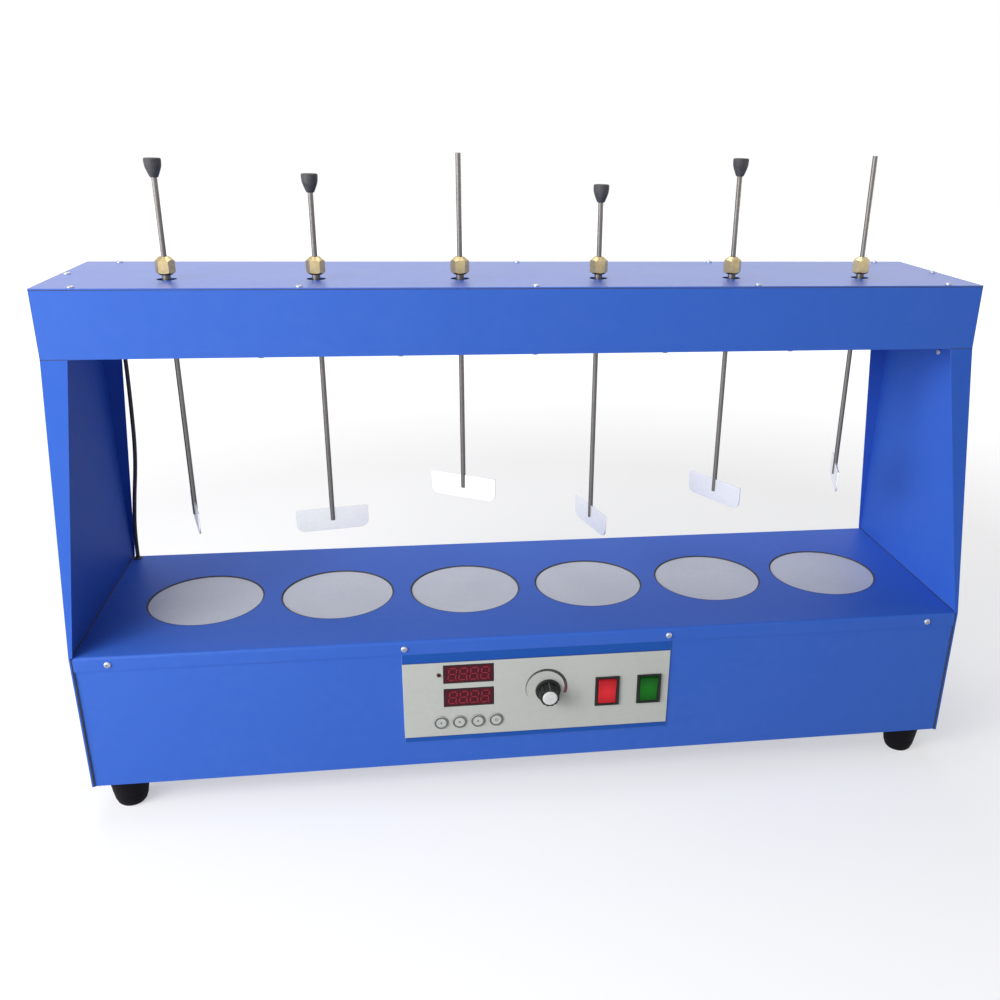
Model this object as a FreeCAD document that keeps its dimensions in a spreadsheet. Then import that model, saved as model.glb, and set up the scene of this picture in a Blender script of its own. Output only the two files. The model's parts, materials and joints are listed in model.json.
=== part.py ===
import FreeCAD, Part
import math
import os
from types import SimpleNamespace

import Sketcher
from FreeCAD import Vector

# Six-place jar tester.  Millimetres, +Z up, +X to the operator's right and -Y towards the
# operator.  The origin is the middle of the rectangle that the machine covers on the bench.

STATIONS = 6
CAPPED = (0, 1, 3, 4)
KEYS = 4
FLUTES = 12
STATION_MIDDLE = (STATIONS - 1) / 2
COVER_SCREW_SHARE = 0.485
PLATE_SCREW_SHARE = 0.143
# The lead between its two grommets: how far down, how far across and how far bowed.
LEAD_ROUTE = ((0.13, 0.0, 0.0), (0.33, 0.06, 0.5), (0.54, 0.2, 1.0),
              (0.74, 0.7, 0.8), (0.9, 1.0, 0.0))

# ---------------------------------------------------------------- driving dimensions

SIZES = {
    # cabinet
    "body_width": 915.0,
    "base_depth": 248.0,
    "base_height": 148.5,
    "bay_height": 276.5,
    "head_height": 64.5,
    "head_depth": 186.0,
    "sheet": 1.5,
    "bend_radius": 3.0,
    "lip_height": 15.0,
    "panel_gap": 1.4,
    "head_flange": 12.0,
    "column_top": 24.0,
    "column_foot": 3.5,
    "tab_stop": 27.0,
    # feet
    "foot_height": 36.0,
    "foot_top_radius": 21.0,
    "foot_tread_radius": 14.0,
    "foot_rounding": 3.0,
    "foot_inset_x": 29.0,
    "foot_inset_y": 26.0,
    # stations
    "station_margin": 107.5,
    "spindle_setback": 119.0,
    "window_gap": 18.0,
    "disc_rim": 6.0,
    "disc_thickness": 4.0,
    "disc_recess": 1.0,
    "disc_fit": 0.2,
    # rods and paddles
    "rod_radius": 2.5,
    "rod_length": 338.5,
    "rod_fit": 0.05,
    "rod_overlap": 14.0,
    "paddle_length": 76.0,
    "paddle_height": 25.0,
    "paddle_thickness": 1.6,
    "paddle_low_corner": 9.0,
    "paddle_high_corner": 2.0,
    "lift_1": 88.7,
    "lift_2": 76.7,
    "lift_3": 109.0,
    "lift_4": 69.8,
    "lift_5": 95.7,
    "lift_6": 111.7,
    "turn_1": 106.0,
    "turn_2": 10.0,
    "turn_3": -30.0,
    "turn_4": -74.0,
    "turn_5": -60.0,
    "turn_6": 72.0,
    # rubber rod caps
    "cap_height": 17.0,
    "cap_top_radius": 7.8,
    "cap_foot_radius": 4.4,
    "cap_shoulder": 7.5,
    "cap_rounding": 1.5,
    "cap_grip": 5.0,
    # spindles and collet nuts
    "spindle_radius": 6.0,
    "spindle_fit": 0.05,
    "hole_clearance": 1.0,
    "spindle_tail": 4.0,
    "neck_radius": 4.0,
    "neck_rise": 14.5,
    "collet_taper": 3.0,
    "collet_tip_radius": 3.4,
    "cover_hole_radius": 9.3,
    "nut_flats": 16.0,
    "nut_height": 17.0,
    "nut_lift": 4.3,
    "nut_top_chamfer": 5.0,
    "nut_foot_chamfer": 3.0,
    "nut_crown_inset": 3.5,
    "nut_heel_inset": 2.0,
    "nut_step": 1.0,
    "nut_fit": 0.05,
    # drive
    "pulley_radius": 19.0,
    "pulley_flange": 2.5,
    "flange_thickness": 1.2,
    "groove_width": 8.0,
    "belt_thickness": 1.6,
    "belt_width": 7.0,
    "belt_fit": 0.3,
    "block_height": 26.0,
    "block_radius": 15.5,
    "block_foot": 42.0,
    "block_foot_thickness": 5.0,
    "bearing_radius": 12.0,
    "bearing_width": 6.0,
    "pulley_clearance": 0.8,
    "motor_offset_x": 62.0,
    "motor_offset_y": 76.0,
    "motor_pulley_radius": 11.0,
    "motor_shaft_radius": 4.0,
    "motor_hub_radius": 7.0,
    "motor_hub_length": 6.0,
    "motor_boss_height": 1.5,
    "shaft_stand": 2.0,
    "gearbox_length": 58.0,
    "gearbox_width": 42.0,
    "gearbox_height": 26.0,
    "motor_radius": 17.0,
    "motor_length": 64.0,
    # control panel
    "overlay_x": -1.5,
    "overlay_width": 280.0,
    "overlay_height": 105.0,
    "overlay_thickness": 1.2,
    "display_width": 52.0,
    "display_height": 21.5,
    "display_fit": 0.2,
    "display_recess": 0.3,
    "display_x": -74.0,
    "display_high_z": 79.0,
    "display_low_z": 51.2,
    "led_x": -104.7,
    "led_radius": 2.0,
    "key_x": -103.4,
    "key_pitch": 19.2,
    "key_z": 21.9,
    "key_radius": 7.4,
    "key_fit": 0.3,
    "key_stem_radius": 3.0,
    "key_rise": 1.0,
    "key_travel": 0.6,
    "board_gap": 12.0,
    "board_thickness": 1.6,
    "board_margin": 10.0,
    "post_inset": 4.0,
    "post_radius": 2.5,
    "key_switch": 6.0,
    "key_switch_rise": 4.0,
    "key_clearance": 0.3,
    "led_rise": 0.8,
    "knob_x": 8.8,
    "knob_z": 53.8,
    "knob_skirt_radius": 13.4,
    "knob_skirt": 2.5,
    "knob_root_radius": 10.8,
    "knob_crown_radius": 10.2,
    "knob_length": 16.5,
    "knob_cap_radius": 7.8,
    "knob_cap_rise": 1.0,
    "knob_gap": 0.5,
    "flute_radius": 1.6,
    "pot_shaft_radius": 3.0,
    "pot_fit": 0.05,
    "pot_bushing_radius": 4.5,
    "pot_body_radius": 12.0,
    "pot_body_depth": 9.0,
    "shaft_end_gap": 0.5,
    "skirt_draft": 0.6,
    "flute_share": 0.55,
    "flute_stop": 1.0,
    "rocker_red_x": 72.0,
    "rocker_green_x": 117.0,
    "rocker_z": 48.9,
    "bezel_width": 26.0,
    "bezel_height": 34.5,
    "bezel_rise": 2.0,
    "bezel_rim": 2.3,
    "switch_depth": 22.0,
    "rocker_pivot_depth": 3.0,
    "rocker_back": 5.0,
    "rocker_fit": 0.4,
    "rocker_tilt": 6.0,
    "rocker_side_gap": 0.4,
    "rocker_room": 3.0,
    # lighting below the windows
    "lamp_radius": 8.0,
    "lamp_inset": 18.0,
    "lamp_rise": 52.0,
    "lamp_spread": 64.0,
    "holder_thickness": 12.0,
    "holder_width": 26.0,
    # mains inlet
    "inlet_inset": 157.5,
    "inlet_z": 60.0,
    "inlet_flange_width": 50.0,
    "inlet_flange_height": 28.0,
    "inlet_reach": 3.0,
    "inlet_body_width": 27.5,
    "inlet_body_height": 20.0,
    "inlet_body_depth": 18.0,
    "inlet_wall": 1.6,
    "inlet_pin_length": 10.0,
    "inlet_pin_width": 2.0,
    "inlet_pin_height": 4.0,
    "inlet_pin_spread": 7.0,
    "inlet_pin_rise": 2.0,
    # lead from the base to the head
    "lead_radius": 2.25,
    "lead_inset_y": 9.0,
    "lead_top_inset": 27.0,
    "lead_foot_inset": 9.0,
    "lead_bow": 1.5,
    "lead_tail": 12.0,
    "grommet_radius": 5.0,
    "grommet_lip": 1.2,
    # cabinet screws
    "screw_radius": 1.7,
    "screw_head_radius": 3.4,
    "screw_crown_radius": 2.45,
    "screw_head_height": 1.9,
    "screw_grip": 5.0,
    "screw_end_inset": 34.5,
    "lip_screw_inset": 3.0,
    "lip_screw_drop": 8.5,
    "side_screw_inset": 25.0,
    "side_screw_low": 20.0,
    "side_screw_drop": 25.0,
    "tab_screw_front": 24.0,
    "tab_screw_back": 40.0,
    "wall_screw_front": 62.0,
    "wall_screw_back": 12.0,
    "wall_screw_drop": 17.0,
}


class Size:
    """A length together with the spreadsheet expression that yields it."""

    def __init__(self, value, text):
        self.value = value
        self.text = text

    @staticmethod
    def of(number):
        if isinstance(number, Size):
            return number
        return Size(float(number), f"({float(number):.9g})")

    def join(self, sign, other, value):
        return Size(value, f"({self.text} {sign} {other.text})")

    def __add__(self, other):
        other = Size.of(other)
        return self.join("+", other, self.value + other.value)

    def __sub__(self, other):
        other = Size.of(other)
        return self.join("-", other, self.value - other.value)

    def __mul__(self, other):
        other = Size.of(other)
        return self.join("*", other, self.value * other.value)

    def __truediv__(self, other):
        other = Size.of(other)
        return self.join("/", other, self.value / other.value)

    def __radd__(self, other):
        return Size.of(other) + self

    def __rsub__(self, other):
        return Size.of(other) - self

    def __rmul__(self, other):
        return Size.of(other) * self

    def __neg__(self):
        return Size.of(-1) * self

    def __float__(self):
        return self.value


doc = FreeCAD.newDocument("JarTester")
sheet = doc.addObject("Spreadsheet::Sheet", "Sizes")
for row, (alias, number) in enumerate(SIZES.items(), start=1):
    sheet.set(f"A{row}", alias)
    sheet.set(f"B{row}", str(number))
    sheet.setAlias(f"B{row}", alias)
doc.recompute()

s = SimpleNamespace(**{alias: Size(number, f"Sizes.{alias}") for alias, number in SIZES.items()})
sub_parts = []


# ---------------------------------------------------------------- helpers

def bind(item, prop, size):
    """Tie one property of a document object to the spreadsheet."""
    item.setExpression(prop, Size.of(size).text)


def put(item, at):
    """Tie the place of a document object to the spreadsheet."""
    for axis, size in zip("xyz", at):
        bind(item, f"Placement.Base.{axis}", size)
    return item


def keep(item, label):
    """Name a finished sub-part and list it for export."""
    item.Label = label
    sub_parts.append(item)
    return item


def box(at, span):
    """A block from its low corner and its three spans."""
    item = doc.addObject("Part::Box", "Block")
    for prop, size in zip(("Length", "Width", "Height"), span):
        bind(item, prop, size)
    return put(item, at)


AXES = {
    "x": FreeCAD.Rotation(Vector(0, 1, 0), 90),
    "y": FreeCAD.Rotation(Vector(1, 0, 0), -90),
    "z": FreeCAD.Rotation(),
}


def rod_shape(at, radius, length, axis="z"):
    """A cylinder from the centre of its low end, along +X, +Y or +Z."""
    item = doc.addObject("Part::Cylinder", "Round")
    item.Placement.Rotation = AXES[axis]
    bind(item, "Radius", radius)
    bind(item, "Height", length)
    return put(item, at)


def fuse(pieces):
    item = doc.addObject("Part::MultiFuse", "Joined")
    item.Shapes = pieces
    return item


def cut(base, tools):
    item = doc.addObject("Part::Cut", "Cut")
    item.Base = base
    item.Tool = tools[0] if len(tools) == 1 else fuse(tools)
    return item


def group(pieces):
    """Separate solids that share one node."""
    item = doc.addObject("Part::Compound", "Group")
    item.Links = pieces
    return item


def new_body():
    return doc.addObject("PartDesign::Body", "Body")


def plane_of(body, role):
    return next(plane for plane in body.Origin.OriginFeatures if plane.Role == role)


def blank_sketch(body, role, level=0.0):
    """An empty sketch on one of the body's own planes, raised by level."""
    sketch = body.newObject("Sketcher::SketchObject", "Sketch")
    sketch.AttachmentSupport = (plane_of(body, role), [""])
    sketch.MapMode = "FlatFace"
    bind(sketch, "AttachmentOffset.Base.z", level)
    return sketch


def pin_point(sketch, curve, end, point):
    """Dimension one point of a curve from the sketch's origin."""
    for kind, size in zip(("DistanceX", "DistanceY"), point):
        index = sketch.addConstraint(
            Sketcher.Constraint(kind, -1, 1, curve, end, Size.of(size).value))
        bind(sketch, f"Constraints[{index}]", size)


def draw_outline(sketch, points):
    """A closed outline of straight lines through dimensioned points."""
    flat = [Vector(float(x), float(y), 0) for x, y in points]
    first = sketch.GeometryCount
    count = len(points)
    for index in range(count):
        sketch.addGeometry(Part.LineSegment(flat[index], flat[(index + 1) % count]))
    for index in range(count):
        following = first + (index + 1) % count
        sketch.addConstraint(Sketcher.Constraint("Coincident", first + index, 2, following, 1))
        pin_point(sketch, first + index, 1, points[index])


def draw_circle(sketch, centre, radius):
    middle = Vector(float(centre[0]), float(centre[1]), 0)
    curve = sketch.addGeometry(Part.Circle(middle, Vector(0, 0, 1), float(Size.of(radius))))
    pin_point(sketch, curve, 3, centre)
    index = sketch.addConstraint(Sketcher.Constraint("Radius", curve, Size.of(radius).value))
    bind(sketch, f"Constraints[{index}]", radius)


def outline_sketch(body, role, points, level=0.0):
    sketch = blank_sketch(body, role, level)
    draw_outline(sketch, points)
    return sketch


def feature(body, kind, profile, **options):
    item = body.newObject(f"PartDesign::{kind}", kind)
    item.Profile = profile
    for prop, value in options.items():
        if isinstance(value, Size):
            bind(item, prop, value)
        else:
            setattr(item, prop, value)
    return item


def spun(body, points, kind="Revolution"):
    """Turn a (radius, height) profile about the body's vertical axis."""
    sketch = outline_sketch(body, "XZ_Plane", points)
    return feature(body, kind, sketch, ReferenceAxis=(sketch, ["V_Axis"]), Angle=360.0)


def edge_names(item, wanted):
    """The names of the edges of a feature that a test on the edge's ends picks."""
    doc.recompute()
    return [
        f"Edge{number}"
        for number, edge in enumerate(item.Shape.Edges, start=1)
        if wanted(edge.Vertexes[0].Point, edge.Vertexes[-1].Point)
    ]


def round_edges(body, base, names, radius):
    item = body.newObject("PartDesign::Fillet", "Fillet")
    item.Base = (base, names)
    bind(item, "Radius", radius)
    return item


def near(first, second):
    return abs(float(first) - float(second)) < 0.01


def shape_part(label, shape):
    """A sub-part whose shape is worked out from the sizes with Part's own functions."""
    item = doc.addObject("Part::Feature", "Worked")
    item.Shape = shape
    return keep(item, label)


# ---------------------------------------------------------------- levels and lines

floor_z = s.foot_height
deck_z = floor_z + s.base_height
head_z = deck_z + s.bay_height
top_z = head_z + s.head_height
half_width = s.body_width / 2
inner_half_width = half_width - s.sheet
station_pitch = (s.body_width - 2 * s.station_margin) / (STATIONS - 1)
window_radius = (station_pitch - s.window_gap) / 2
inlet_x = s.inlet_inset - half_width
lead_top_x = s.lead_top_inset - half_width
lead_foot_x = s.lead_foot_inset - half_width

knob_reach = s.knob_length + s.knob_gap + s.overlay_thickness - s.sheet
front_y = (knob_reach - s.inlet_reach - s.base_depth) / 2
back_y = front_y + s.base_depth
head_front_y = back_y - s.head_depth
wall_y = front_y + s.sheet
overlay_y = wall_y - s.overlay_thickness
wall_inside_y = wall_y + s.sheet
spindle_y = front_y + s.spindle_setback
lip_z = deck_z - s.lip_height
panel_z = lip_z - s.overlay_height

plate_top_z = head_z + 2 * s.sheet
block_top_z = plate_top_z + s.block_height
pulley_z = block_top_z + s.pulley_clearance
groove_step = s.groove_width + s.flange_thickness
pulley_top_z = pulley_z + 2 * groove_step + s.flange_thickness
tip_z = top_z + s.neck_rise
nut_z = top_z + s.nut_lift
nut_top_z = nut_z + s.nut_height


def station_x(index):
    return (index - STATION_MIDDLE) * station_pitch


# ---------------------------------------------------------------- screws of the cabinet

def screw_shape(point, direction, grip):
    """A pan-head screw whose head stands on point, looking along direction."""
    outward = Vector(*direction)
    head = Part.makeCone(s.screw_head_radius.value, s.screw_crown_radius.value,
                         s.screw_head_height.value, point, outward)
    shank = Part.makeCylinder(s.screw_radius.value, grip.value, point - outward * grip.value,
                              outward)
    return head.fuse(shank)


def mirrored(*distances):
    """Each distance on both sides of the middle."""
    return sorted({sign * float(distance) for distance in distances for sign in (-1, 1)})


def screw_seats():
    """Every place where a cabinet screw stands, with the way that its head looks."""
    margin = (s.head_flange.value + s.sheet.value) / 2
    head_rows = (head_front_y.value + margin, back_y.value - margin)
    end_x = half_width - s.screw_end_inset
    plate_step = PLATE_SCREW_SHARE * s.body_width
    panel_step = s.overlay_width / 2 - s.lip_screw_inset
    seats = [(Vector(x, y, top_z.value), (0, 0, 1))
             for x in mirrored(0, COVER_SCREW_SHARE * half_width, end_x) for y in head_rows]
    seats += [(Vector(x, sum(head_rows) / 2, top_z.value), (0, 0, 1))
              for x in mirrored(half_width - margin)]
    seats += [(Vector(x, y, head_z.value), (0, 0, -1))
              for x in mirrored(0, plate_step, 2 * plate_step)
              for y in head_rows]
    beside = [s.overlay_x.value + x for x in mirrored(panel_step)]
    for x in mirrored(end_x) + beside:
        z = deck_z.value - s.lip_screw_drop.value
        seats += [(Vector(x, front_y.value, z), (0, -1, 0)),
                  (Vector(x, back_y.value, z), (0, 1, 0))]
    for side in (-1, 1):
        x = side * half_width.value
        seats += [(Vector(x, y, floor_z.value + z), (side, 0, 0))
                  for y in (front_y.value + s.side_screw_inset.value,
                            back_y.value - s.side_screw_inset.value)
                  for z in (s.side_screw_low.value,
                            s.base_height.value - s.side_screw_drop.value)]
        x -= side * s.column_top.value / 2
        seats += [(Vector(x, y, head_z.value - s.sheet.value), (0, 0, -1))
                  for y in (head_front_y.value + s.tab_screw_front.value,
                            back_y.value - s.tab_screw_back.value)]
    return seats


def wall_screw_seats():
    """The short screws in the columns' inner walls, just below the head."""
    z = (head_z - s.wall_screw_drop).value
    return [(Vector(side * inner_half_width.value, y, z), (-side, 0, 0))
            for side in (-1, 1)
            for y in ((head_front_y + s.wall_screw_front).value,
                      (back_y - s.wall_screw_back).value)]


SCREWS = [screw_shape(*seat, s.screw_grip) for seat in screw_seats()]
SCREWS += [screw_shape(*seat, s.sheet) for seat in wall_screw_seats()]
screw_tool = doc.addObject("Part::Feature", "ScrewHoles")
screw_tool.Shape = Part.makeCompound(SCREWS)


def drilled(item):
    """Cut the cabinet screws' own holes through a sheet."""
    return cut(item, [screw_tool])


# ---------------------------------------------------------------- cabinet: base

def base_shell():
    inside_half = inner_half_width - s.sheet
    depth = s.base_depth - 2 * s.sheet
    tray = box((-inner_half_width, wall_y, floor_z),
               (2 * inner_half_width, depth, s.base_height - s.sheet))
    room = box((-inside_half, wall_inside_y, floor_z + s.sheet),
               (2 * inside_half, depth - 2 * s.sheet, s.base_height))
    tools = [room, *panel_cutouts(wall_y - s.sheet, 3 * s.sheet,
                                  s.key_stem_radius + s.hole_clearance)]
    tools.append(box((inlet_x - s.inlet_body_width / 2, back_y - 4 * s.sheet,
                      floor_z + s.inlet_z - s.inlet_body_height / 2),
                     (s.inlet_body_width, 6 * s.sheet, s.inlet_body_height)))
    return keep(drilled(cut(tray, tools)), "base_shell")


def key_centre(index):
    return s.key_x + index * s.key_pitch


def panel_cutouts(y, depth, key_radius):
    """Openings for the display modules, keys, lamp, potentiometer and switches."""
    tools = []
    for z in (s.display_high_z, s.display_low_z):
        width = s.display_width + 2 * s.display_fit
        height = s.display_height + 2 * s.display_fit
        tools.append(box((s.display_x - width / 2, y, panel_z + z - height / 2),
                         (width, depth, height)))
    for index in range(KEYS):
        tools.append(rod_shape((key_centre(index), y, panel_z + s.key_z), key_radius, depth, "y"))
    tools.append(rod_shape((s.led_x, y, panel_z + s.display_high_z),
                           s.led_radius + s.display_fit, depth, "y"))
    tools.append(rod_shape((s.knob_x, y, panel_z + s.knob_z), s.pot_bushing_radius, depth, "y"))
    width = s.bezel_width - 2 * s.bezel_rim
    height = s.bezel_height - s.bezel_rim
    for x in (s.rocker_red_x, s.rocker_green_x):
        tools.append(box((x - width / 2, y, panel_z + s.rocker_z - height / 2),
                         (width, depth, height)))
    return tools


def base_deck():
    """The lid of the base: one sheet folded down at the front and back."""
    body = new_body()
    inner_y = back_y - s.sheet
    under_z = deck_z - s.sheet
    outline = [(front_y, lip_z), (front_y, deck_z), (back_y, deck_z), (back_y, lip_z),
               (inner_y, lip_z), (inner_y, under_z), (wall_y, under_z), (wall_y, lip_z)]
    fold = feature(body, "Pad", outline_sketch(body, "YZ_Plane", outline), Midplane=True,
                   Length=2 * (inner_half_width - s.panel_gap))
    outer = edge_names(fold, lambda a, b: near(a.z, deck_z) and near(b.z, deck_z)
                       and near(a.y, b.y))
    fold = round_edges(body, fold, outer, s.bend_radius)
    sketch = blank_sketch(body, "XY_Plane", deck_z)
    draw_circle(sketch, (station_x(0), spindle_y), window_radius)
    window = feature(body, "Pocket", sketch, Length=2 * s.sheet)
    row = body.newObject("PartDesign::LinearPattern", "Windows")
    row.Originals = [window]
    row.Direction = (sketch, ["H_Axis"])
    row.Occurrences = STATIONS
    bind(row, "Length", (STATIONS - 1) * station_pitch)
    body.Tip = row
    hole = rod_shape((lead_foot_x, back_y - s.lead_inset_y, under_z - s.sheet),
                     s.grommet_radius - s.grommet_lip, 3 * s.sheet)
    return keep(drilled(cut(body, [hole])), "base_deck")


def window_discs():
    """Frosted discs, stepped so that each fills its window from below."""
    discs = []
    for index in range(STATIONS):
        x = station_x(index)
        plate = rod_shape((x, spindle_y, deck_z - s.sheet - s.disc_thickness),
                          window_radius + s.disc_rim, s.disc_thickness)
        boss = rod_shape((x, spindle_y, deck_z - s.sheet),
                         window_radius - s.disc_fit, s.sheet - s.disc_recess)
        discs.append(fuse([plate, boss]))
    return keep(group(discs), "window_discs")


def side_panel(sign, label):
    """A channel that widens upwards, folded from one sheet with the side of the base."""
    body = new_body()
    outer = sign * half_width
    inner = sign * inner_half_width

    def channel(width, front, level):
        free = sign * (half_width - width)
        points = [(outer, front), (outer, back_y), (free, back_y), (free, back_y - s.sheet),
                  (inner, back_y - s.sheet), (inner, front + s.sheet), (free, front + s.sheet),
                  (free, front)]
        return outline_sketch(body, "XY_Plane", points, level)

    low = channel(s.column_foot, front_y, deck_z)
    high = channel(s.column_top, head_front_y, head_z)
    feature(body, "AdditiveLoft", low, Sections=[high], Ruled=True)
    skirt = [(inner, front_y), (outer, front_y), (outer, back_y), (inner, back_y)]
    feature(body, "Pad", outline_sketch(body, "XY_Plane", skirt, floor_z),
            Length=s.base_height)
    free = sign * (half_width - s.column_top)
    tab = [(inner, head_front_y), (free, head_front_y),
           (free, back_y - s.tab_stop), (inner, back_y - s.tab_stop)]
    body.Tip = feature(body, "Pad", outline_sketch(body, "XY_Plane", tab, head_z),
                       Length=s.sheet, Reversed=True)
    return keep(drilled(body), label)


def feet():
    pieces = []
    for side in (-1, 1):
        for y in (front_y + s.foot_inset_y, back_y - s.foot_inset_y):
            body = new_body()
            tread = s.foot_tread_radius
            pad = spun(body, [(0, 0), (tread, 0), (s.foot_top_radius, s.foot_height),
                              (0, s.foot_height)])
            rim = edge_names(pad, lambda a, b: near(a.z, 0) and near(b.z, 0)
                             and near(a.x, b.x) and near(abs(a.x), tread))
            body.Tip = round_edges(body, pad, rim, s.foot_rounding)
            pieces.append(put(body, (side * (half_width - s.foot_inset_x), y, 0)))
    return keep(group(pieces), "rubber_feet")


# ---------------------------------------------------------------- cabinet: head

def head_shell():
    depth = s.head_depth - 2 * s.sheet
    height = s.head_height - s.sheet
    block = box((-half_width, head_front_y, head_z), (s.body_width, s.head_depth, height))
    room = box((-inner_half_width, head_front_y + s.sheet, head_z + s.sheet),
               (2 * inner_half_width, depth, height - 2 * s.sheet))
    opening = box((-(half_width - s.head_flange), head_front_y + s.head_flange, head_z - s.sheet),
                  (s.body_width - 2 * s.head_flange, s.head_depth - 2 * s.head_flange,
                   s.head_height + 2 * s.sheet))
    lead = rod_shape((lead_top_x, back_y - s.lead_inset_y, head_z - s.sheet),
                     s.grommet_radius - s.grommet_lip, 5 * s.sheet)
    return keep(drilled(cut(block, [room, opening, lead])), "head_shell")


def head_cover():
    plate = box((-half_width, head_front_y, top_z - s.sheet),
                (s.body_width, s.head_depth, s.sheet))
    holes = [rod_shape((station_x(index), spindle_y, top_z - 2 * s.sheet),
                       s.cover_hole_radius, 3 * s.sheet) for index in range(STATIONS)]
    return keep(drilled(cut(plate, holes)), "head_cover")


def head_bottom_plate():
    plate = box((-inner_half_width, head_front_y + s.sheet, head_z + s.sheet),
                (2 * inner_half_width, s.head_depth - 2 * s.sheet, s.sheet))
    holes = [rod_shape((station_x(index), spindle_y, head_z),
                       s.spindle_radius + s.hole_clearance, 4 * s.sheet)
             for index in range(STATIONS)]
    holes.append(rod_shape((lead_top_x, back_y - s.lead_inset_y, head_z - s.sheet),
                           s.grommet_radius - s.grommet_lip, 5 * s.sheet))
    return keep(drilled(cut(plate, holes)), "head_bottom_plate")


# ---------------------------------------------------------------- drive in the head

def bearing_blocks():
    blocks = []
    for index in range(STATIONS):
        x = station_x(index)
        foot = box((x - s.block_foot / 2, spindle_y - s.block_foot / 2, plate_top_z),
                   (s.block_foot, s.block_foot, s.block_foot_thickness))
        boss = rod_shape((x, spindle_y, plate_top_z), s.block_radius, s.block_height)
        throat = rod_shape((x, spindle_y, plate_top_z), s.spindle_radius + s.hole_clearance,
                           s.block_height)
        seats = [rod_shape((x, spindle_y, z), s.bearing_radius, s.bearing_width)
                 for z in (plate_top_z, block_top_z - s.bearing_width)]
        blocks.append(cut(fuse([foot, boss]), [throat, *seats]))
    return keep(group(blocks), "bearing_blocks")


def spindle_bearings():
    rings = []
    for index in range(STATIONS):
        for z in (plate_top_z, block_top_z - s.bearing_width):
            at = (station_x(index), spindle_y, z)
            rings.append(cut(rod_shape(at, s.bearing_radius, s.bearing_width),
                             [rod_shape(at, s.spindle_radius, s.bearing_width)]))
    return keep(group(rings), "spindle_bearings")


def spindle(index):
    """A hollow shaft with a double belt pulley and a tapered collet at its top."""
    body = new_body()
    bore = s.rod_radius + s.rod_fit
    shaft = s.spindle_radius - s.spindle_fit
    rim = s.pulley_radius + s.pulley_flange
    levels = [pulley_z, pulley_z + s.flange_thickness, pulley_z + groove_step,
              pulley_z + groove_step + s.flange_thickness, pulley_z + 2 * groove_step,
              pulley_top_z]
    outline = [(bore, head_z - s.spindle_tail), (shaft, head_z - s.spindle_tail),
               (shaft, levels[0]), (rim, levels[0]), (rim, levels[1]),
               (s.pulley_radius, levels[1]), (s.pulley_radius, levels[2]),
               (rim, levels[2]), (rim, levels[3]),
               (s.pulley_radius, levels[3]), (s.pulley_radius, levels[4]),
               (rim, levels[4]), (rim, levels[5]),
               (s.neck_radius, levels[5]), (s.neck_radius, tip_z - s.collet_taper),
               (s.collet_tip_radius, tip_z), (bore, tip_z)]
    body.Tip = spun(body, outline)
    put(body, (station_x(index), spindle_y, 0))
    return keep(body, f"spindle_{index + 1}")


def collet_nut(index):
    """A hexagon nut, domed by chamfers, that squeezes the collet onto the rod."""
    body = new_body()
    flat = s.nut_flats / 2
    corner = s.nut_flats / math.sqrt(3)
    sketch = blank_sketch(body, "XY_Plane", nut_z)
    draw_outline(sketch, [(corner * math.cos(math.radians(60 * step)),
                           corner * math.sin(math.radians(60 * step))) for step in range(6)])
    feature(body, "Pad", sketch, Length=s.nut_height)
    fit = s.nut_fit
    neck = s.neck_radius + fit
    taper_z = tip_z - s.collet_taper
    bore = s.rod_radius + s.rod_fit
    seat = s.collet_tip_radius + 2 * fit
    seat_z = tip_z + s.nut_step
    inside = [(0, nut_z), (neck, nut_z), (neck, taper_z), (seat, tip_z), (seat, seat_z),
              (bore, seat_z), (bore, nut_top_z), (0, nut_top_z)]
    spun(body, inside, "Groove")
    beyond = corner + s.nut_step
    crown = [(flat - s.nut_crown_inset, nut_top_z), (beyond, nut_top_z),
             (beyond, nut_top_z - s.nut_top_chamfer)]
    spun(body, crown, "Groove")
    heel = [(flat - s.nut_heel_inset, nut_z), (beyond, nut_z + s.nut_foot_chamfer),
            (beyond, nut_z)]
    body.Tip = spun(body, heel, "Groove")
    put(body, (station_x(index), spindle_y, 0))
    return keep(body, f"collet_nut_{index + 1}")


def belt_loop(first, first_radius, second, second_radius, low_z):
    """A flat belt round two pulleys: the inner radii are the pulleys' plus the running fit."""
    span = second - first
    lean = math.asin((first_radius - second_radius) / span.Length)
    along = math.atan2(span.y, span.x)

    def loop(extra):
        radii = (first_radius + extra, second_radius + extra)
        edges = []
        ends = []
        for side in (1, -1):
            angle = along + side * (math.pi / 2 - lean)
            way = Vector(math.cos(angle), math.sin(angle), 0)
            ends.append((first + way * radii[0], second + way * radii[1]))
        far = second + Vector(math.cos(along), math.sin(along), 0) * radii[1]
        near_point = first - Vector(math.cos(along), math.sin(along), 0) * radii[0]
        edges.append(Part.makeLine(ends[0][0], ends[0][1]))
        edges.append(Part.Arc(ends[0][1], far, ends[1][1]).toShape())
        edges.append(Part.makeLine(ends[1][1], ends[1][0]))
        edges.append(Part.Arc(ends[1][0], near_point, ends[0][0]).toShape())
        return Part.Face(Part.Wire(edges))

    ring = loop(s.belt_fit.value + s.belt_thickness.value).cut(loop(s.belt_fit.value))
    ring.translate(Vector(0, 0, low_z))
    return ring.extrude(Vector(0, 0, s.belt_width.value))


def motor_centre():
    return (station_x(0) + s.motor_offset_x, spindle_y + s.motor_offset_y)


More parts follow.
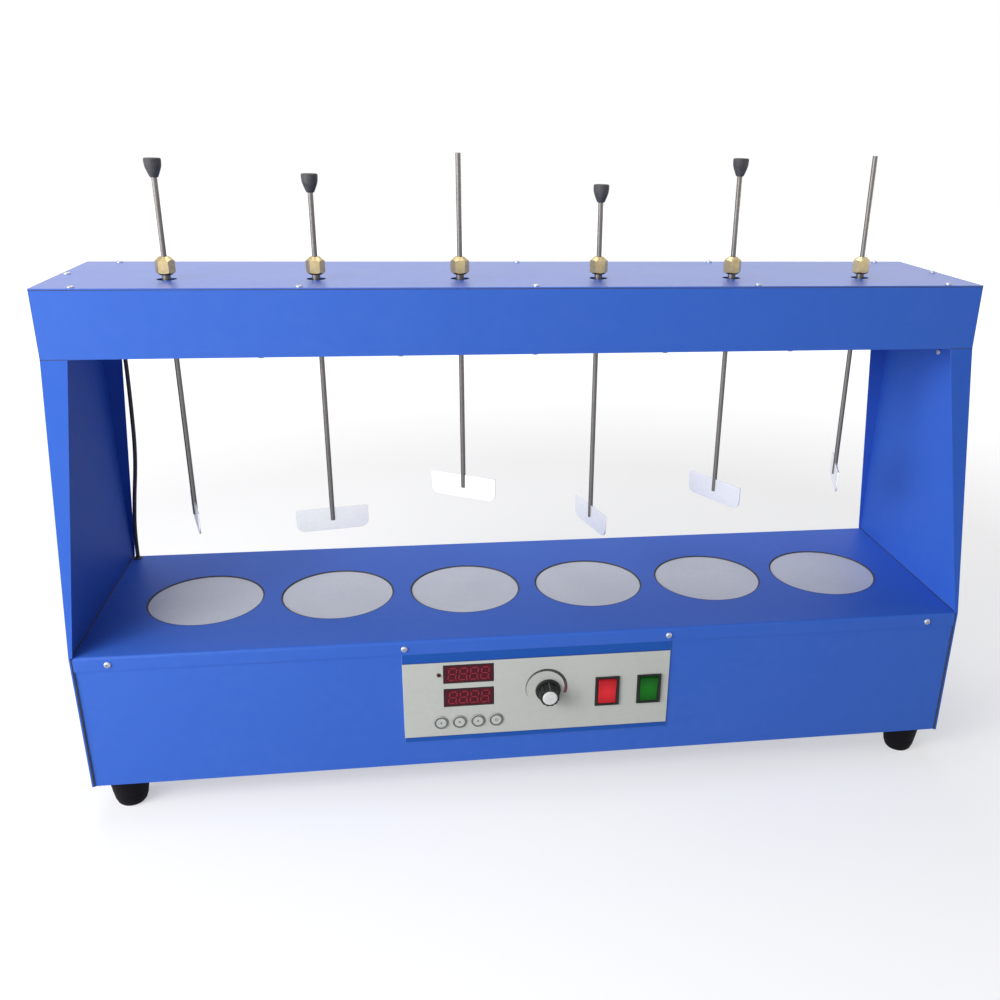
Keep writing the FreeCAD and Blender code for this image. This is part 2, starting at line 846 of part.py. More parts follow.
def drive_belts():
    """One belt joins each pair of neighbours, on alternate grooves, and one comes from the motor."""
    radius = s.pulley_radius.value
    slack = (s.groove_width.value - s.belt_width.value) / 2
    low = pulley_z.value + s.flange_thickness.value + slack
    centres = [Vector(station_x(index).value, spindle_y.value, 0) for index in range(STATIONS)]
    belts = []
    for index in range(STATIONS - 1):
        level = low + (index % 2) * groove_step.value
        belts.append(belt_loop(centres[index], radius, centres[index + 1], radius, level))
    motor = Vector(motor_centre()[0].value, motor_centre()[1].value, 0)
    belts.append(belt_loop(centres[0], radius, motor, s.motor_pulley_radius.value,
                           low + groove_step.value))
    return shape_part("drive_belts", Part.makeCompound(belts))


def drive_motor():
    """A worm gear motor lying on the bottom plate, with its output shaft upwards."""
    x, y = motor_centre()
    gearbox = box((x - s.gearbox_width / 2, y - s.gearbox_width / 2, plate_top_z),
                  (s.gearbox_length, s.gearbox_width, s.gearbox_height))
    motor = rod_shape((x - s.gearbox_width / 2 + s.gearbox_length, y, plate_top_z + s.motor_radius),
                      s.motor_radius, s.motor_length, "x")
    boss = rod_shape((x, y, plate_top_z + s.gearbox_height), 2 * s.motor_shaft_radius,
                     s.motor_boss_height)
    shaft = rod_shape((x, y, plate_top_z + s.gearbox_height / 2),
                      s.motor_shaft_radius + s.spindle_fit, s.gearbox_height)
    return keep(cut(fuse([gearbox, motor, boss]), [shaft]), "drive_motor")


def motor_pulley():
    """The driving pulley on the gear motor's output shaft."""
    body = new_body()
    shaft = s.motor_shaft_radius
    hub = s.motor_hub_radius
    rim = s.motor_pulley_radius + s.pulley_flange
    low = pulley_z + groove_step
    hub_z = low - s.motor_hub_length
    shaft_foot = plate_top_z + s.gearbox_height / 2 + s.hole_clearance
    shaft_top = pulley_top_z + s.shaft_stand
    outline = [(0, shaft_foot), (shaft, shaft_foot), (shaft, hub_z), (hub, hub_z), (hub, low),
               (rim, low), (rim, low + s.flange_thickness),
               (s.motor_pulley_radius, low + s.flange_thickness),
               (s.motor_pulley_radius, low + groove_step), (rim, low + groove_step),
               (rim, pulley_top_z), (shaft, pulley_top_z), (shaft, shaft_top), (0, shaft_top)]
    body.Tip = spun(body, outline)
    put(body, (*motor_centre(), 0))
    return keep(body, "motor_pulley")


# ---------------------------------------------------------------- rods, paddles and caps

def rod_foot_z(index):
    lift = getattr(s, f"lift_{index + 1}")
    return deck_z + lift + s.paddle_height - s.rod_overlap


def turned(item, index):
    """Turn a piece of a station to the angle at which its paddle stands."""
    item.Placement.Rotation = FreeCAD.Rotation(Vector(0, 0, 1), 1)
    bind(item, "Placement.Rotation.Angle", getattr(s, f"turn_{index + 1}"))
    return item


def stirrer_rod(index):
    """A plain round rod with a slit in its foot for the paddle."""
    foot = rod_foot_z(index)
    rod = rod_shape((0, 0, 0), s.rod_radius, s.rod_length)
    slit = box((-2 * s.rod_radius, -s.paddle_thickness / 2, 0),
               (4 * s.rod_radius, s.paddle_thickness, s.rod_overlap))
    item = put(cut(rod, [slit]), (station_x(index), spindle_y, foot))
    return keep(turned(item, index), f"stirrer_rod_{index + 1}")


def paddle(index):
    """A flat plate with large lower and small upper corners."""
    body = new_body()
    half = s.paddle_length / 2
    height = s.paddle_height
    plate = feature(body, "Pad",
                    outline_sketch(body, "XZ_Plane", [(-half, 0), (half, 0), (half, height),
                                                      (-half, height)]),
                    Midplane=True, Length=s.paddle_thickness)
    for level, radius in ((0, s.paddle_low_corner), (height, s.paddle_high_corner)):
        corners = edge_names(plate, lambda a, b: near(a.z, level) and near(b.z, level)
                             and near(a.x, b.x) and near(abs(a.x), half))
        plate = round_edges(body, plate, corners, radius)
    body.Tip = plate
    put(body, (station_x(index), spindle_y, deck_z + getattr(s, f"lift_{index + 1}")))
    return keep(turned(body, index), f"paddle_{index + 1}")


def rod_cap(index):
    """A rubber stopper pushed over the top of a rod."""
    body = new_body()
    grip = s.cap_grip
    outline = [(s.rod_radius, 0), (s.cap_foot_radius, 0),
               (s.cap_top_radius, s.cap_height - s.cap_shoulder),
               (s.cap_top_radius, s.cap_height), (0, s.cap_height), (0, grip),
               (s.rod_radius, grip)]
    plug = spun(body, outline)
    rim = edge_names(plug, lambda a, b: near(a.z, s.cap_height) and near(b.z, s.cap_height)
                     and near(a.x, b.x) and near(abs(a.x), s.cap_top_radius))
    body.Tip = round_edges(body, plug, rim, s.cap_rounding)
    top = rod_foot_z(index) + s.rod_length
    put(body, (station_x(index), spindle_y, top - grip))
    return keep(body, f"rod_cap_{index + 1}")


# ---------------------------------------------------------------- control panel

def control_overlay():
    plate = box((s.overlay_x - s.overlay_width / 2, overlay_y, panel_z),
                (s.overlay_width, s.overlay_thickness, s.overlay_height))
    tools = panel_cutouts(overlay_y - s.sheet, 3 * s.sheet, s.key_radius + s.key_fit)
    return keep(cut(plate, tools), "control_overlay")


board_y = wall_inside_y + s.board_gap


def display_modules():
    modules = [box((s.display_x - s.display_width / 2, overlay_y + s.display_recess,
                    panel_z + z - s.display_height / 2),
                   (s.display_width, board_y - overlay_y - s.display_recess, s.display_height))
               for z in (s.display_high_z, s.display_low_z)]
    return keep(group(modules), "display_modules")


def control_board():
    """The circuit board behind the panel, with its posts, key switches and lamp."""
    margin = s.board_margin
    left = s.led_x - margin
    width = s.display_width / 2 + s.display_x + margin - left
    low = panel_z + s.key_z - 2 * margin
    height = s.display_high_z + s.display_height / 2 + 3 * margin - s.key_z
    pieces = [box((left, board_y, low), (width, s.board_thickness, height))]
    inset = s.post_inset
    for x in (left + inset, left + width - inset):
        for z in (low + inset, low + height - inset):
            pieces.append(rod_shape((x, wall_inside_y, z), s.post_radius, s.board_gap, "y"))
    side = s.key_switch
    for index in range(KEYS):
        pieces.append(box((key_centre(index) - side / 2, board_y - s.key_switch_rise,
                           panel_z + s.key_z - side / 2), (side, s.key_switch_rise, side)))
    pieces.append(rod_shape((s.led_x, overlay_y - s.led_rise, panel_z + s.display_high_z),
                            s.led_radius, board_y - overlay_y + s.led_rise, "y"))
    return keep(fuse(pieces), "control_board")


def push_key(index):
    """A round key in the panel with a stem that reaches back to its switch."""
    x = key_centre(index)
    z = panel_z + s.key_z
    face_y = overlay_y - s.key_rise
    thickness = s.key_rise + s.overlay_thickness - s.key_travel - s.key_clearance
    face = rod_shape((x, face_y, z), s.key_radius, thickness, "y")
    stem_end = board_y - s.key_switch_rise - s.key_travel - s.key_clearance
    stem = rod_shape((x, face_y, z), s.key_stem_radius, stem_end - face_y, "y")
    return keep(fuse([face, stem]), f"push_key_{index + 1}")


def speed_potentiometer():
    x, z = s.knob_x, panel_z + s.knob_z
    can = rod_shape((x, wall_inside_y, z), s.pot_body_radius, s.pot_body_depth, "y")
    bushing = rod_shape((x, overlay_y, z), s.pot_bushing_radius, wall_inside_y - overlay_y, "y")
    bore = rod_shape((x, overlay_y - s.knob_gap, z), s.pot_shaft_radius + s.pot_fit,
                     wall_inside_y - overlay_y + s.knob_gap + s.pot_body_depth / 2, "y")
    return keep(cut(fuse([can, bushing]), [bore]), "speed_potentiometer")


def speed_knob():
    """A skirted, fluted knob with a raised cap, made with its shaft."""
    body = new_body()
    length = s.knob_length
    shaft_end = (wall_inside_y - overlay_y + s.knob_gap + s.pot_body_depth / 2
                 - s.shaft_end_gap)
    outline = [(0, -shaft_end), (s.pot_shaft_radius, -shaft_end), (s.pot_shaft_radius, 0),
               (s.knob_skirt_radius, 0), (s.knob_skirt_radius - s.skirt_draft, s.knob_skirt),
               (s.knob_root_radius, s.knob_skirt),
               (s.knob_crown_radius, length - s.knob_cap_rise),
               (s.knob_cap_radius, length - s.knob_cap_rise), (s.knob_cap_radius, length),
               (0, length)]
    spun(body, outline)
    sketch = blank_sketch(body, "XY_Plane", length - s.knob_cap_rise)
    draw_circle(sketch, (s.knob_root_radius + s.flute_radius * s.flute_share, 0), s.flute_radius)
    flute = feature(body, "Pocket", sketch,
                    Length=length - s.knob_cap_rise - s.knob_skirt - s.flute_stop)
    ring = body.newObject("PartDesign::PolarPattern", "Flutes")
    ring.Originals = [flute]
    ring.Axis = (sketch, ["N_Axis"])
    ring.Angle = 360
    ring.Occurrences = FLUTES
    body.Tip = ring
    put(body, (s.knob_x, overlay_y - s.knob_gap, panel_z + s.knob_z))
    body.Placement.Rotation = FreeCAD.Rotation(Vector(1, 0, 0), 90)
    return keep(body, "speed_knob")


rocker_reach = s.bezel_height / 2 - s.bezel_rim - s.rocker_fit
bezel_y = overlay_y - s.bezel_rise
pivot_y = bezel_y + s.rocker_pivot_depth
rocker_half_width = s.bezel_width / 2 - s.bezel_rim - 3 * s.rocker_side_gap


def switch_bodies():
    """The bezels and housings of the two rocker switches."""
    switches = []
    for x in (s.rocker_red_x, s.rocker_green_x):
        z = panel_z + s.rocker_z
        bezel = box((x - s.bezel_width / 2, bezel_y, z - s.bezel_height / 2),
                    (s.bezel_width, s.bezel_rise, s.bezel_height))
        width = s.bezel_width - 2 * s.bezel_rim
        height = s.bezel_height - s.bezel_rim
        housing = box((x - width / 2, overlay_y, z - height / 2), (width, s.switch_depth, height))
        room_half = rocker_half_width + s.rocker_side_gap
        well = box((x - room_half, bezel_y - s.bezel_rise, z - s.bezel_height / 2 + s.bezel_rim),
                   (2 * room_half,
                    s.bezel_rise + s.rocker_pivot_depth + s.rocker_back + s.rocker_room,
                    s.bezel_height - 2 * s.bezel_rim))
        switches.append(cut(fuse([bezel, housing]), [well]))
    return keep(group(switches), "switch_bodies")


def rocker(x, label):
    """A rocker with a shallow valley across its face and round ends about its pivot."""
    tilt = s.rocker_tilt.value
    reach = rocker_reach.value
    half = rocker_half_width.value
    valley = s.rocker_pivot_depth.value
    slope = math.radians(tilt)
    crest = math.sin(slope) * math.sqrt(reach ** 2 - (valley * math.cos(slope)) ** 2)
    crest += valley * math.cos(slope) ** 2
    side = math.sqrt(reach ** 2 - crest ** 2)
    back = s.rocker_back.value
    low = math.sqrt(reach ** 2 - back ** 2)
    top = Vector(0, -crest, side)
    bottom = Vector(0, -crest, -side)
    middle = Vector(0, -valley, 0)
    back_top = Vector(0, back, low)
    back_bottom = Vector(0, back, -low)
    edges = [Part.makeLine(middle, top),
             Part.Arc(top, Vector(0, 0, reach), back_top).toShape(),
             Part.makeLine(back_top, back_bottom),
             Part.Arc(back_bottom, Vector(0, 0, -reach), bottom).toShape(),
             Part.makeLine(bottom, middle)]
    shape = Part.Face(Part.Wire(edges)).extrude(Vector(2 * half, 0, 0))
    shape.translate(Vector(-half, 0, 0))
    shape.rotate(Vector(0, 0, 0), Vector(1, 0, 0), tilt)
    shape.translate(Vector(x.value, pivot_y.value, (panel_z + s.rocker_z).value))
    return shape_part(label, shape)


# ---------------------------------------------------------------- lighting, inlet and lead

lamp_half = inner_half_width - s.sheet - s.lamp_inset - s.holder_thickness


def lamp_tubes():
    tubes = [rod_shape((-lamp_half, spindle_y + side * s.lamp_spread / 2,
                        floor_z + s.lamp_rise), s.lamp_radius, 2 * lamp_half, "x")
             for side in (-1, 1)]
    return keep(group(tubes), "lamp_tubes")


def lamp_holders():
    holders = []
    for end in (-1, 1):
        for side in (-1, 1):
            x = end * (lamp_half + s.holder_thickness / 2) - s.holder_thickness / 2
            y = spindle_y + side * s.lamp_spread / 2 - s.holder_width / 2
            holders.append(box((x, y, floor_z + s.sheet),
                               (s.holder_thickness, s.holder_width,
                                s.lamp_rise - s.sheet + s.holder_width / 2)))
    return keep(group(holders), "lamp_holders")


def power_inlet():
    """A flanged mains inlet with three flat pins, in the back of the base."""
    x, z = inlet_x, floor_z + s.inlet_z
    flange = box((x - s.inlet_flange_width / 2, back_y - s.sheet, z - s.inlet_flange_height / 2),
                 (s.inlet_flange_width, s.inlet_reach + s.sheet, s.inlet_flange_height))
    body = box((x - s.inlet_body_width / 2, back_y - s.inlet_body_depth,
                z - s.inlet_body_height / 2),
               (s.inlet_body_width, s.inlet_body_depth, s.inlet_body_height))
    wall = s.inlet_wall
    mouth = box((x - s.inlet_body_width / 2 + wall, back_y - s.inlet_body_depth + wall,
                 z - s.inlet_body_height / 2 + wall),
                (s.inlet_body_width - 2 * wall, s.inlet_body_depth + s.inlet_reach,
                 s.inlet_body_height - 2 * wall))
    housing = cut(fuse([flange, body]), [mouth])
    spread = s.inlet_pin_spread
    rise = s.inlet_pin_rise
    pins = [box((x + dx - s.inlet_pin_width / 2, back_y - s.inlet_body_depth,
                 z + dz - s.inlet_pin_height / 2),
                (s.inlet_pin_width, s.inlet_pin_length + wall, s.inlet_pin_height))
            for dx, dz in ((-spread, -rise), (0, rise), (spread, -rise))]
    return keep(fuse([housing, *pins]), "power_inlet")


def lead_points():
    """The route of the lead: through the head's floor, down inside the column, into the deck."""
    y = back_y.value - s.lead_inset_y.value
    top = head_z.value
    foot = deck_z.value
    high_x = lead_top_x.value
    across = lead_foot_x.value - high_x
    bow = s.lead_bow.value
    way = [Vector(high_x + sideways * across, y - bowed * bow, top + down * (foot - top))
           for down, sideways, bowed in LEAD_ROUTE]
    return [Vector(high_x, y, top + s.lead_tail.value), *way,
            Vector(high_x + across, y, foot - s.lead_tail.value)]


def lead_path(points):
    """Straight runs joined by the largest tangent arcs that two neighbouring runs allow."""
    edges = []
    start = points[0]
    for before, corner, after in zip(points, points[1:], points[2:]):
        incoming = (corner - before).normalize()
        outgoing = (after - corner).normalize()
        turn = incoming.getAngle(outgoing)
        cutback = 0.45 * min((corner - before).Length, (after - corner).Length)
        radius = cutback / math.tan(turn / 2)
        print(f"lead arc radius {radius:.0f} mm, turn {math.degrees(turn):.1f} degrees")
        entry = corner - incoming * cutback
        leave = corner + outgoing * cutback
        inward = (outgoing - incoming).normalize()
        centre = corner + inward * (radius / math.cos(turn / 2))
        middle = centre - inward * radius
        edges.append(Part.makeLine(start, entry))
        edges.append(Part.Arc(entry, middle, leave).toShape())
        start = leave
    edges.append(Part.makeLine(start, points[-1]))
    return Part.Wire(edges)


def head_lead():
    points = lead_points()
    path = lead_path(points)
    direction = points[1] - points[0]
    section = Part.Wire(Part.makeCircle(s.lead_radius.value, points[0], direction))
    tube = path.makePipeShell([section], True, False)
    expected = math.pi * s.lead_radius.value ** 2 * path.Length
    print(f"lead length {path.Length:.1f} mm, volume {tube.Volume:.1f} of {expected:.1f}")
    return shape_part("head_lead", tube)


def lead_grommets():
    """Rubber rings where the lead passes the deck and the floor of the head."""
    rings = []
    lip = s.grommet_lip
    seat = s.grommet_radius - lip
    places = ((lead_top_x, head_z, 2 * s.sheet), (lead_foot_x, deck_z - s.sheet, s.sheet))
    for x, low, grip in places:
        y = back_y - s.lead_inset_y
        sleeve = rod_shape((x, y, low - lip), seat, grip + 2 * lip)
        flanges = [rod_shape((x, y, z), s.grommet_radius, lip) for z in (low - lip, low + grip)]
        bore = rod_shape((x, y, low - 2 * lip), s.lead_radius, grip + 4 * lip)
        rings.append(cut(fuse([sleeve, *flanges]), [bore]))
    return keep(group(rings), "lead_grommets")


# ---------------------------------------------------------------- build

base_shell()
base_deck()
window_discs()
side_panel(-1, "left_side_panel")
side_panel(1, "right_side_panel")
feet()
head_shell()
head_cover()
head_bottom_plate()
shape_part("case_screws", Part.makeCompound(SCREWS))
bearing_blocks()
spindle_bearings()
drive_belts()
drive_motor()
motor_pulley()
for station in range(STATIONS):
    spindle(station)
    collet_nut(station)
    stirrer_rod(station)
    paddle(station)
for station in CAPPED:
    rod_cap(station)
control_overlay()
display_modules()
control_board()
for key in range(KEYS):
    push_key(key)
speed_potentiometer()
speed_knob()
switch_bodies()
rocker(s.rocker_red_x, "red_rocker")
rocker(s.rocker_green_x, "green_rocker")
lamp_tubes()
lamp_holders()
power_inlet()
head_lead()
lead_grommets()
doc.recompute()

faults = [item.Label for item in doc.Objects
          if "Invalid" in item.State or "Error" in item.State]
faults += [item.Label for item in sub_parts if item.Shape.isNull() or not item.Shape.isValid()]
if faults:
    raise RuntimeError(f"failed objects: {faults}")

os.makedirs("parts", exist_ok=True)
for item in sub_parts:
    item.Shape.exportStep(f"parts/{item.Label}.step")
print(f"{len(sub_parts)} sub-parts written")
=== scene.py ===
"""Looks of a six-place jar tester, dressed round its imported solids."""
import json
import logging
import math
from collections.abc import Callable, Iterable, Sequence
from dataclasses import dataclass, field
from enum import Enum

import bmesh
import bpy
from mathutils import Matrix, Vector


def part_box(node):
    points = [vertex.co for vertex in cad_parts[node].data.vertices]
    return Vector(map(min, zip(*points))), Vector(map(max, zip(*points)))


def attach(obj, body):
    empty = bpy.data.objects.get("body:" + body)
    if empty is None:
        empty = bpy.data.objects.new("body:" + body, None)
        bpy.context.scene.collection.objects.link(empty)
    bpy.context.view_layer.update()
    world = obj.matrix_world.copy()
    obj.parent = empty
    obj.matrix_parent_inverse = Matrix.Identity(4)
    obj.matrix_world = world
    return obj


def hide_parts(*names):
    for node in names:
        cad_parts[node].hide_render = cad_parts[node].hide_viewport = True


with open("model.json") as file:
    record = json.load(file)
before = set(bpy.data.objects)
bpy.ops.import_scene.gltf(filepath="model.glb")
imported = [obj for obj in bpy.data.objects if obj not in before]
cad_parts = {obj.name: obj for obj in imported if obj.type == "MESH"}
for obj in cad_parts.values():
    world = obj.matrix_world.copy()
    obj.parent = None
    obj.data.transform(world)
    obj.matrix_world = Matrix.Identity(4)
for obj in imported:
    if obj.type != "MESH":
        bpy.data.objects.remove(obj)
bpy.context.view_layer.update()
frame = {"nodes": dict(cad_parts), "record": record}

logging.basicConfig(level=logging.INFO, format="%(message)s")
LOG = logging.getLogger("jar_tester")

MM = 0.001
WELD = 2e-6
FLAT = math.radians(0.4)
CREASE = math.radians(33.0)
STATIONS = 6
CAPPED = (1, 2, 4, 5)
KEYS = 4
TOP_BAND = 11.6 * MM
LOW_BAND = 5.8 * MM

Colour = tuple[float, float, float, float]
WHITE: Colour = (1.0, 1.0, 1.0, 1.0)
BODY_OF = {node: body for body, nodes in frame["record"]["behaviour"]["bodies"].items()
           for node in nodes}


class Slot(str, Enum):
    """The names of the record's material slots."""

    BLUE = "blue_paint"
    DISC = "frosted_disc"
    STEEL = "bright_steel"
    PLATE = "polished_plate"
    SCREW = "zinc_screw"
    BRASS = "brass"
    RUBBER = "black_rubber"
    BELT = "belt_rubber"
    PANEL = "panel_silver"
    DISPLAY = "display_red"
    KEY = "key_grey"
    BLACK = "black_plastic"
    RED = "switch_red"
    GREEN = "switch_green"


class Axis(Enum):
    """The way that a turned piece looks."""

    UP = Matrix.Identity(4)
    DOWN = Matrix.Rotation(math.pi, 4, "X")
    FRONT = Matrix.Rotation(math.pi / 2, 4, "X")
    BACK = Matrix.Rotation(-math.pi / 2, 4, "X")
    LEFT = Matrix.Rotation(-math.pi / 2, 4, "Y")
    RIGHT = Matrix.Rotation(math.pi / 2, 4, "Y")


def srgb(red: float, green: float, blue: float) -> Colour:
    """A colour as a screen shows it, turned into linear light.

    Args:
        red: Red from 0 to 255.
        green: Green from 0 to 255.
        blue: Blue from 0 to 255.

    Returns:
        The linear colour with full alpha.
    """
    def linear(value: float) -> float:
        """One channel in linear light."""
        share = value / 255.0
        return share / 12.92 if share <= 0.04045 else ((share + 0.055) / 1.055) ** 2.4

    return (linear(red), linear(green), linear(blue), 1.0)


def scaled(colour: Colour, share: float) -> Colour:
    """A linear colour, made darker or lighter."""
    return tuple(min(1.0, value * share) for value in colour[:3]) + (1.0,)


# ---------------------------------------------------------------- shader groups

class Nodes:
    """Short calls that add nodes to one tree."""

    def __init__(self, tree: bpy.types.NodeTree) -> None:
        """Keep the tree that the nodes go into."""
        self.tree = tree

    def add(self, kind: str, inputs: dict[int | str, object] | None = None,
            output: int | str = 0, **settings: object) -> bpy.types.NodeSocket:
        """Add one node.

        Args:
            kind: The node's type without its leading ShaderNode.
            inputs: Sockets to link or values to set, by the input's name or number.
            output: The output that is wanted.
            **settings: The node's own settings.

        Returns:
            That output.
        """
        node = self.tree.nodes.new(f"ShaderNode{kind}")
        for label, value in settings.items():
            setattr(node, label, value)
        for label, value in (inputs or {}).items():
            if isinstance(value, bpy.types.NodeSocket):
                self.tree.links.new(value, node.inputs[label])
            else:
                node.inputs[label].default_value = value
        return node.outputs[output]

    def math(self, operation: str, first: object, second: object) -> bpy.types.NodeSocket:
        """A sum, product or the like of two sockets or numbers."""
        return self.add("Math", {0: first, 1: second}, operation=operation)

    def noise(self, vector: bpy.types.NodeSocket, scale: object,
              detail: float) -> bpy.types.NodeSocket:
        """A noise value on some coordinates."""
        return self.add("TexNoise", {"Vector": vector, "Scale": scale, "Detail": detail}, "Fac")

    def spread(self, source: bpy.types.NodeSocket, low: float, high: float,
               start: float = 0.0, end: float = 1.0) -> bpy.types.NodeSocket:
        """Map a value from one range to another, clamped.

        Args:
            source: The value.
            low: The result at start.
            high: The result at end.
            start: The low end of the input range.
            end: The high end of the input range.

        Returns:
            The mapped value.
        """
        return self.add("MapRange", {"Value": source, "From Min": start, "From Max": end,
                                     "To Min": low, "To Max": high})


class Effect(Nodes):
    """A node group with a vector input, plain number inputs and one output."""

    def __init__(self, name: str, output: str, **inputs: float) -> None:
        """Start an empty group.

        Args:
            name: The group's name.
            output: The output's name.
            **inputs: Number inputs and their defaults.
        """
        super().__init__(bpy.data.node_groups.new(name, "ShaderNodeTree"))
        face = self.tree.interface
        face.new_socket("Vector", in_out="INPUT", socket_type="NodeSocketVector")
        for label, value in inputs.items():
            socket = face.new_socket(label, in_out="INPUT", socket_type="NodeSocketFloat")
            socket.default_value = value
        face.new_socket(output, in_out="OUTPUT", socket_type="NodeSocketFloat")
        self.given = self.tree.nodes.new("NodeGroupInput").outputs
        self.out = self.tree.nodes.new("NodeGroupOutput").inputs[0]

    def give(self, result: bpy.types.NodeSocket) -> bpy.types.NodeTree:
        """Put a value out of the group, and return its tree."""
        self.tree.links.new(result, self.out)
        return self.tree


class Effects:
    """Node groups for the effects that several finishes share."""

    def __init__(self) -> None:
        """Build every group once."""
        self.grain = self._layers("surface_grain", 500.0, (2.0, 1.0), 0.16, wave=0.35)
        self.smudge = self._smudge()
        self.rub_and_highlight = self._rub_and_highlight()
        self.lines = self._layers("brushed_lines", 900.0, (3.0, 2.0), 0.25)

    @staticmethod
    def _layers(name: str, scale: float, details: tuple[float, float], slower: float,
                wave: float | None = None) -> bpy.types.NodeTree:
        """Orange peel, moulded grain or drawn lines: fine and broad noise as one height.

        Args:
            name: The group's name.
            scale: The fine noise's scale.
            details: The detail of the fine and of the broad noise.
            slower: The broad noise's scale as a share of the fine one's.
            wave: The broad noise's strength, or None for full strength without an input.

        Returns:
            The group.
        """
        inputs = {"Scale": scale} if wave is None else {"Scale": scale, "Wave": wave}
        effect = Effect(name, "Height", **inputs)
        vector, fine_scale = effect.given["Vector"], effect.given["Scale"]
        fine = effect.noise(vector, fine_scale, details[0])
        broad = effect.noise(vector, effect.math("MULTIPLY", fine_scale, slower), details[1])
        if wave is not None:
            broad = effect.math("MULTIPLY", broad, effect.given["Wave"])
        return effect.give(effect.math("ADD", fine, broad))

    @staticmethod
    def _smudge() -> bpy.types.NodeTree:
        """Patches of handling marks and dust as a mask.

        Returns:
            The group.
        """
        effect = Effect("smudges", "Mask", Scale=9.0, Amount=0.5)
        vector, scale = effect.given["Vector"], effect.given["Scale"]
        broad = effect.noise(vector, scale, 3.0)
        speck = effect.noise(vector, effect.math("MULTIPLY", scale, 11.0), 5.0)
        lifted = effect.math("SUBTRACT", effect.math("MULTIPLY", broad, speck), 0.17)
        mask = effect.math("MULTIPLY", effect.math("MULTIPLY", lifted, 5.0),
                           effect.given["Amount"])
        return effect.give(effect.add("Clamp", {"Value": mask}))

    @staticmethod
    def _rub_and_highlight() -> bpy.types.NodeTree:
        """Rubbed edges and a painted highlight along them, as a mask from the faces that the edge
        rounding marks.

        Returns:
            The group.
        """
        effect = Effect("edge_rub_and_highlight", "Mask", Amount=0.5)
        mark = effect.add("Attribute", output="Fac", attribute_name="rubbed_and_lit")
        patch = effect.noise(effect.given["Vector"], 60.0, 4.0)
        strength = effect.math("MULTIPLY", mark, patch)
        return effect.give(effect.math("MULTIPLY", strength, effect.given["Amount"]))


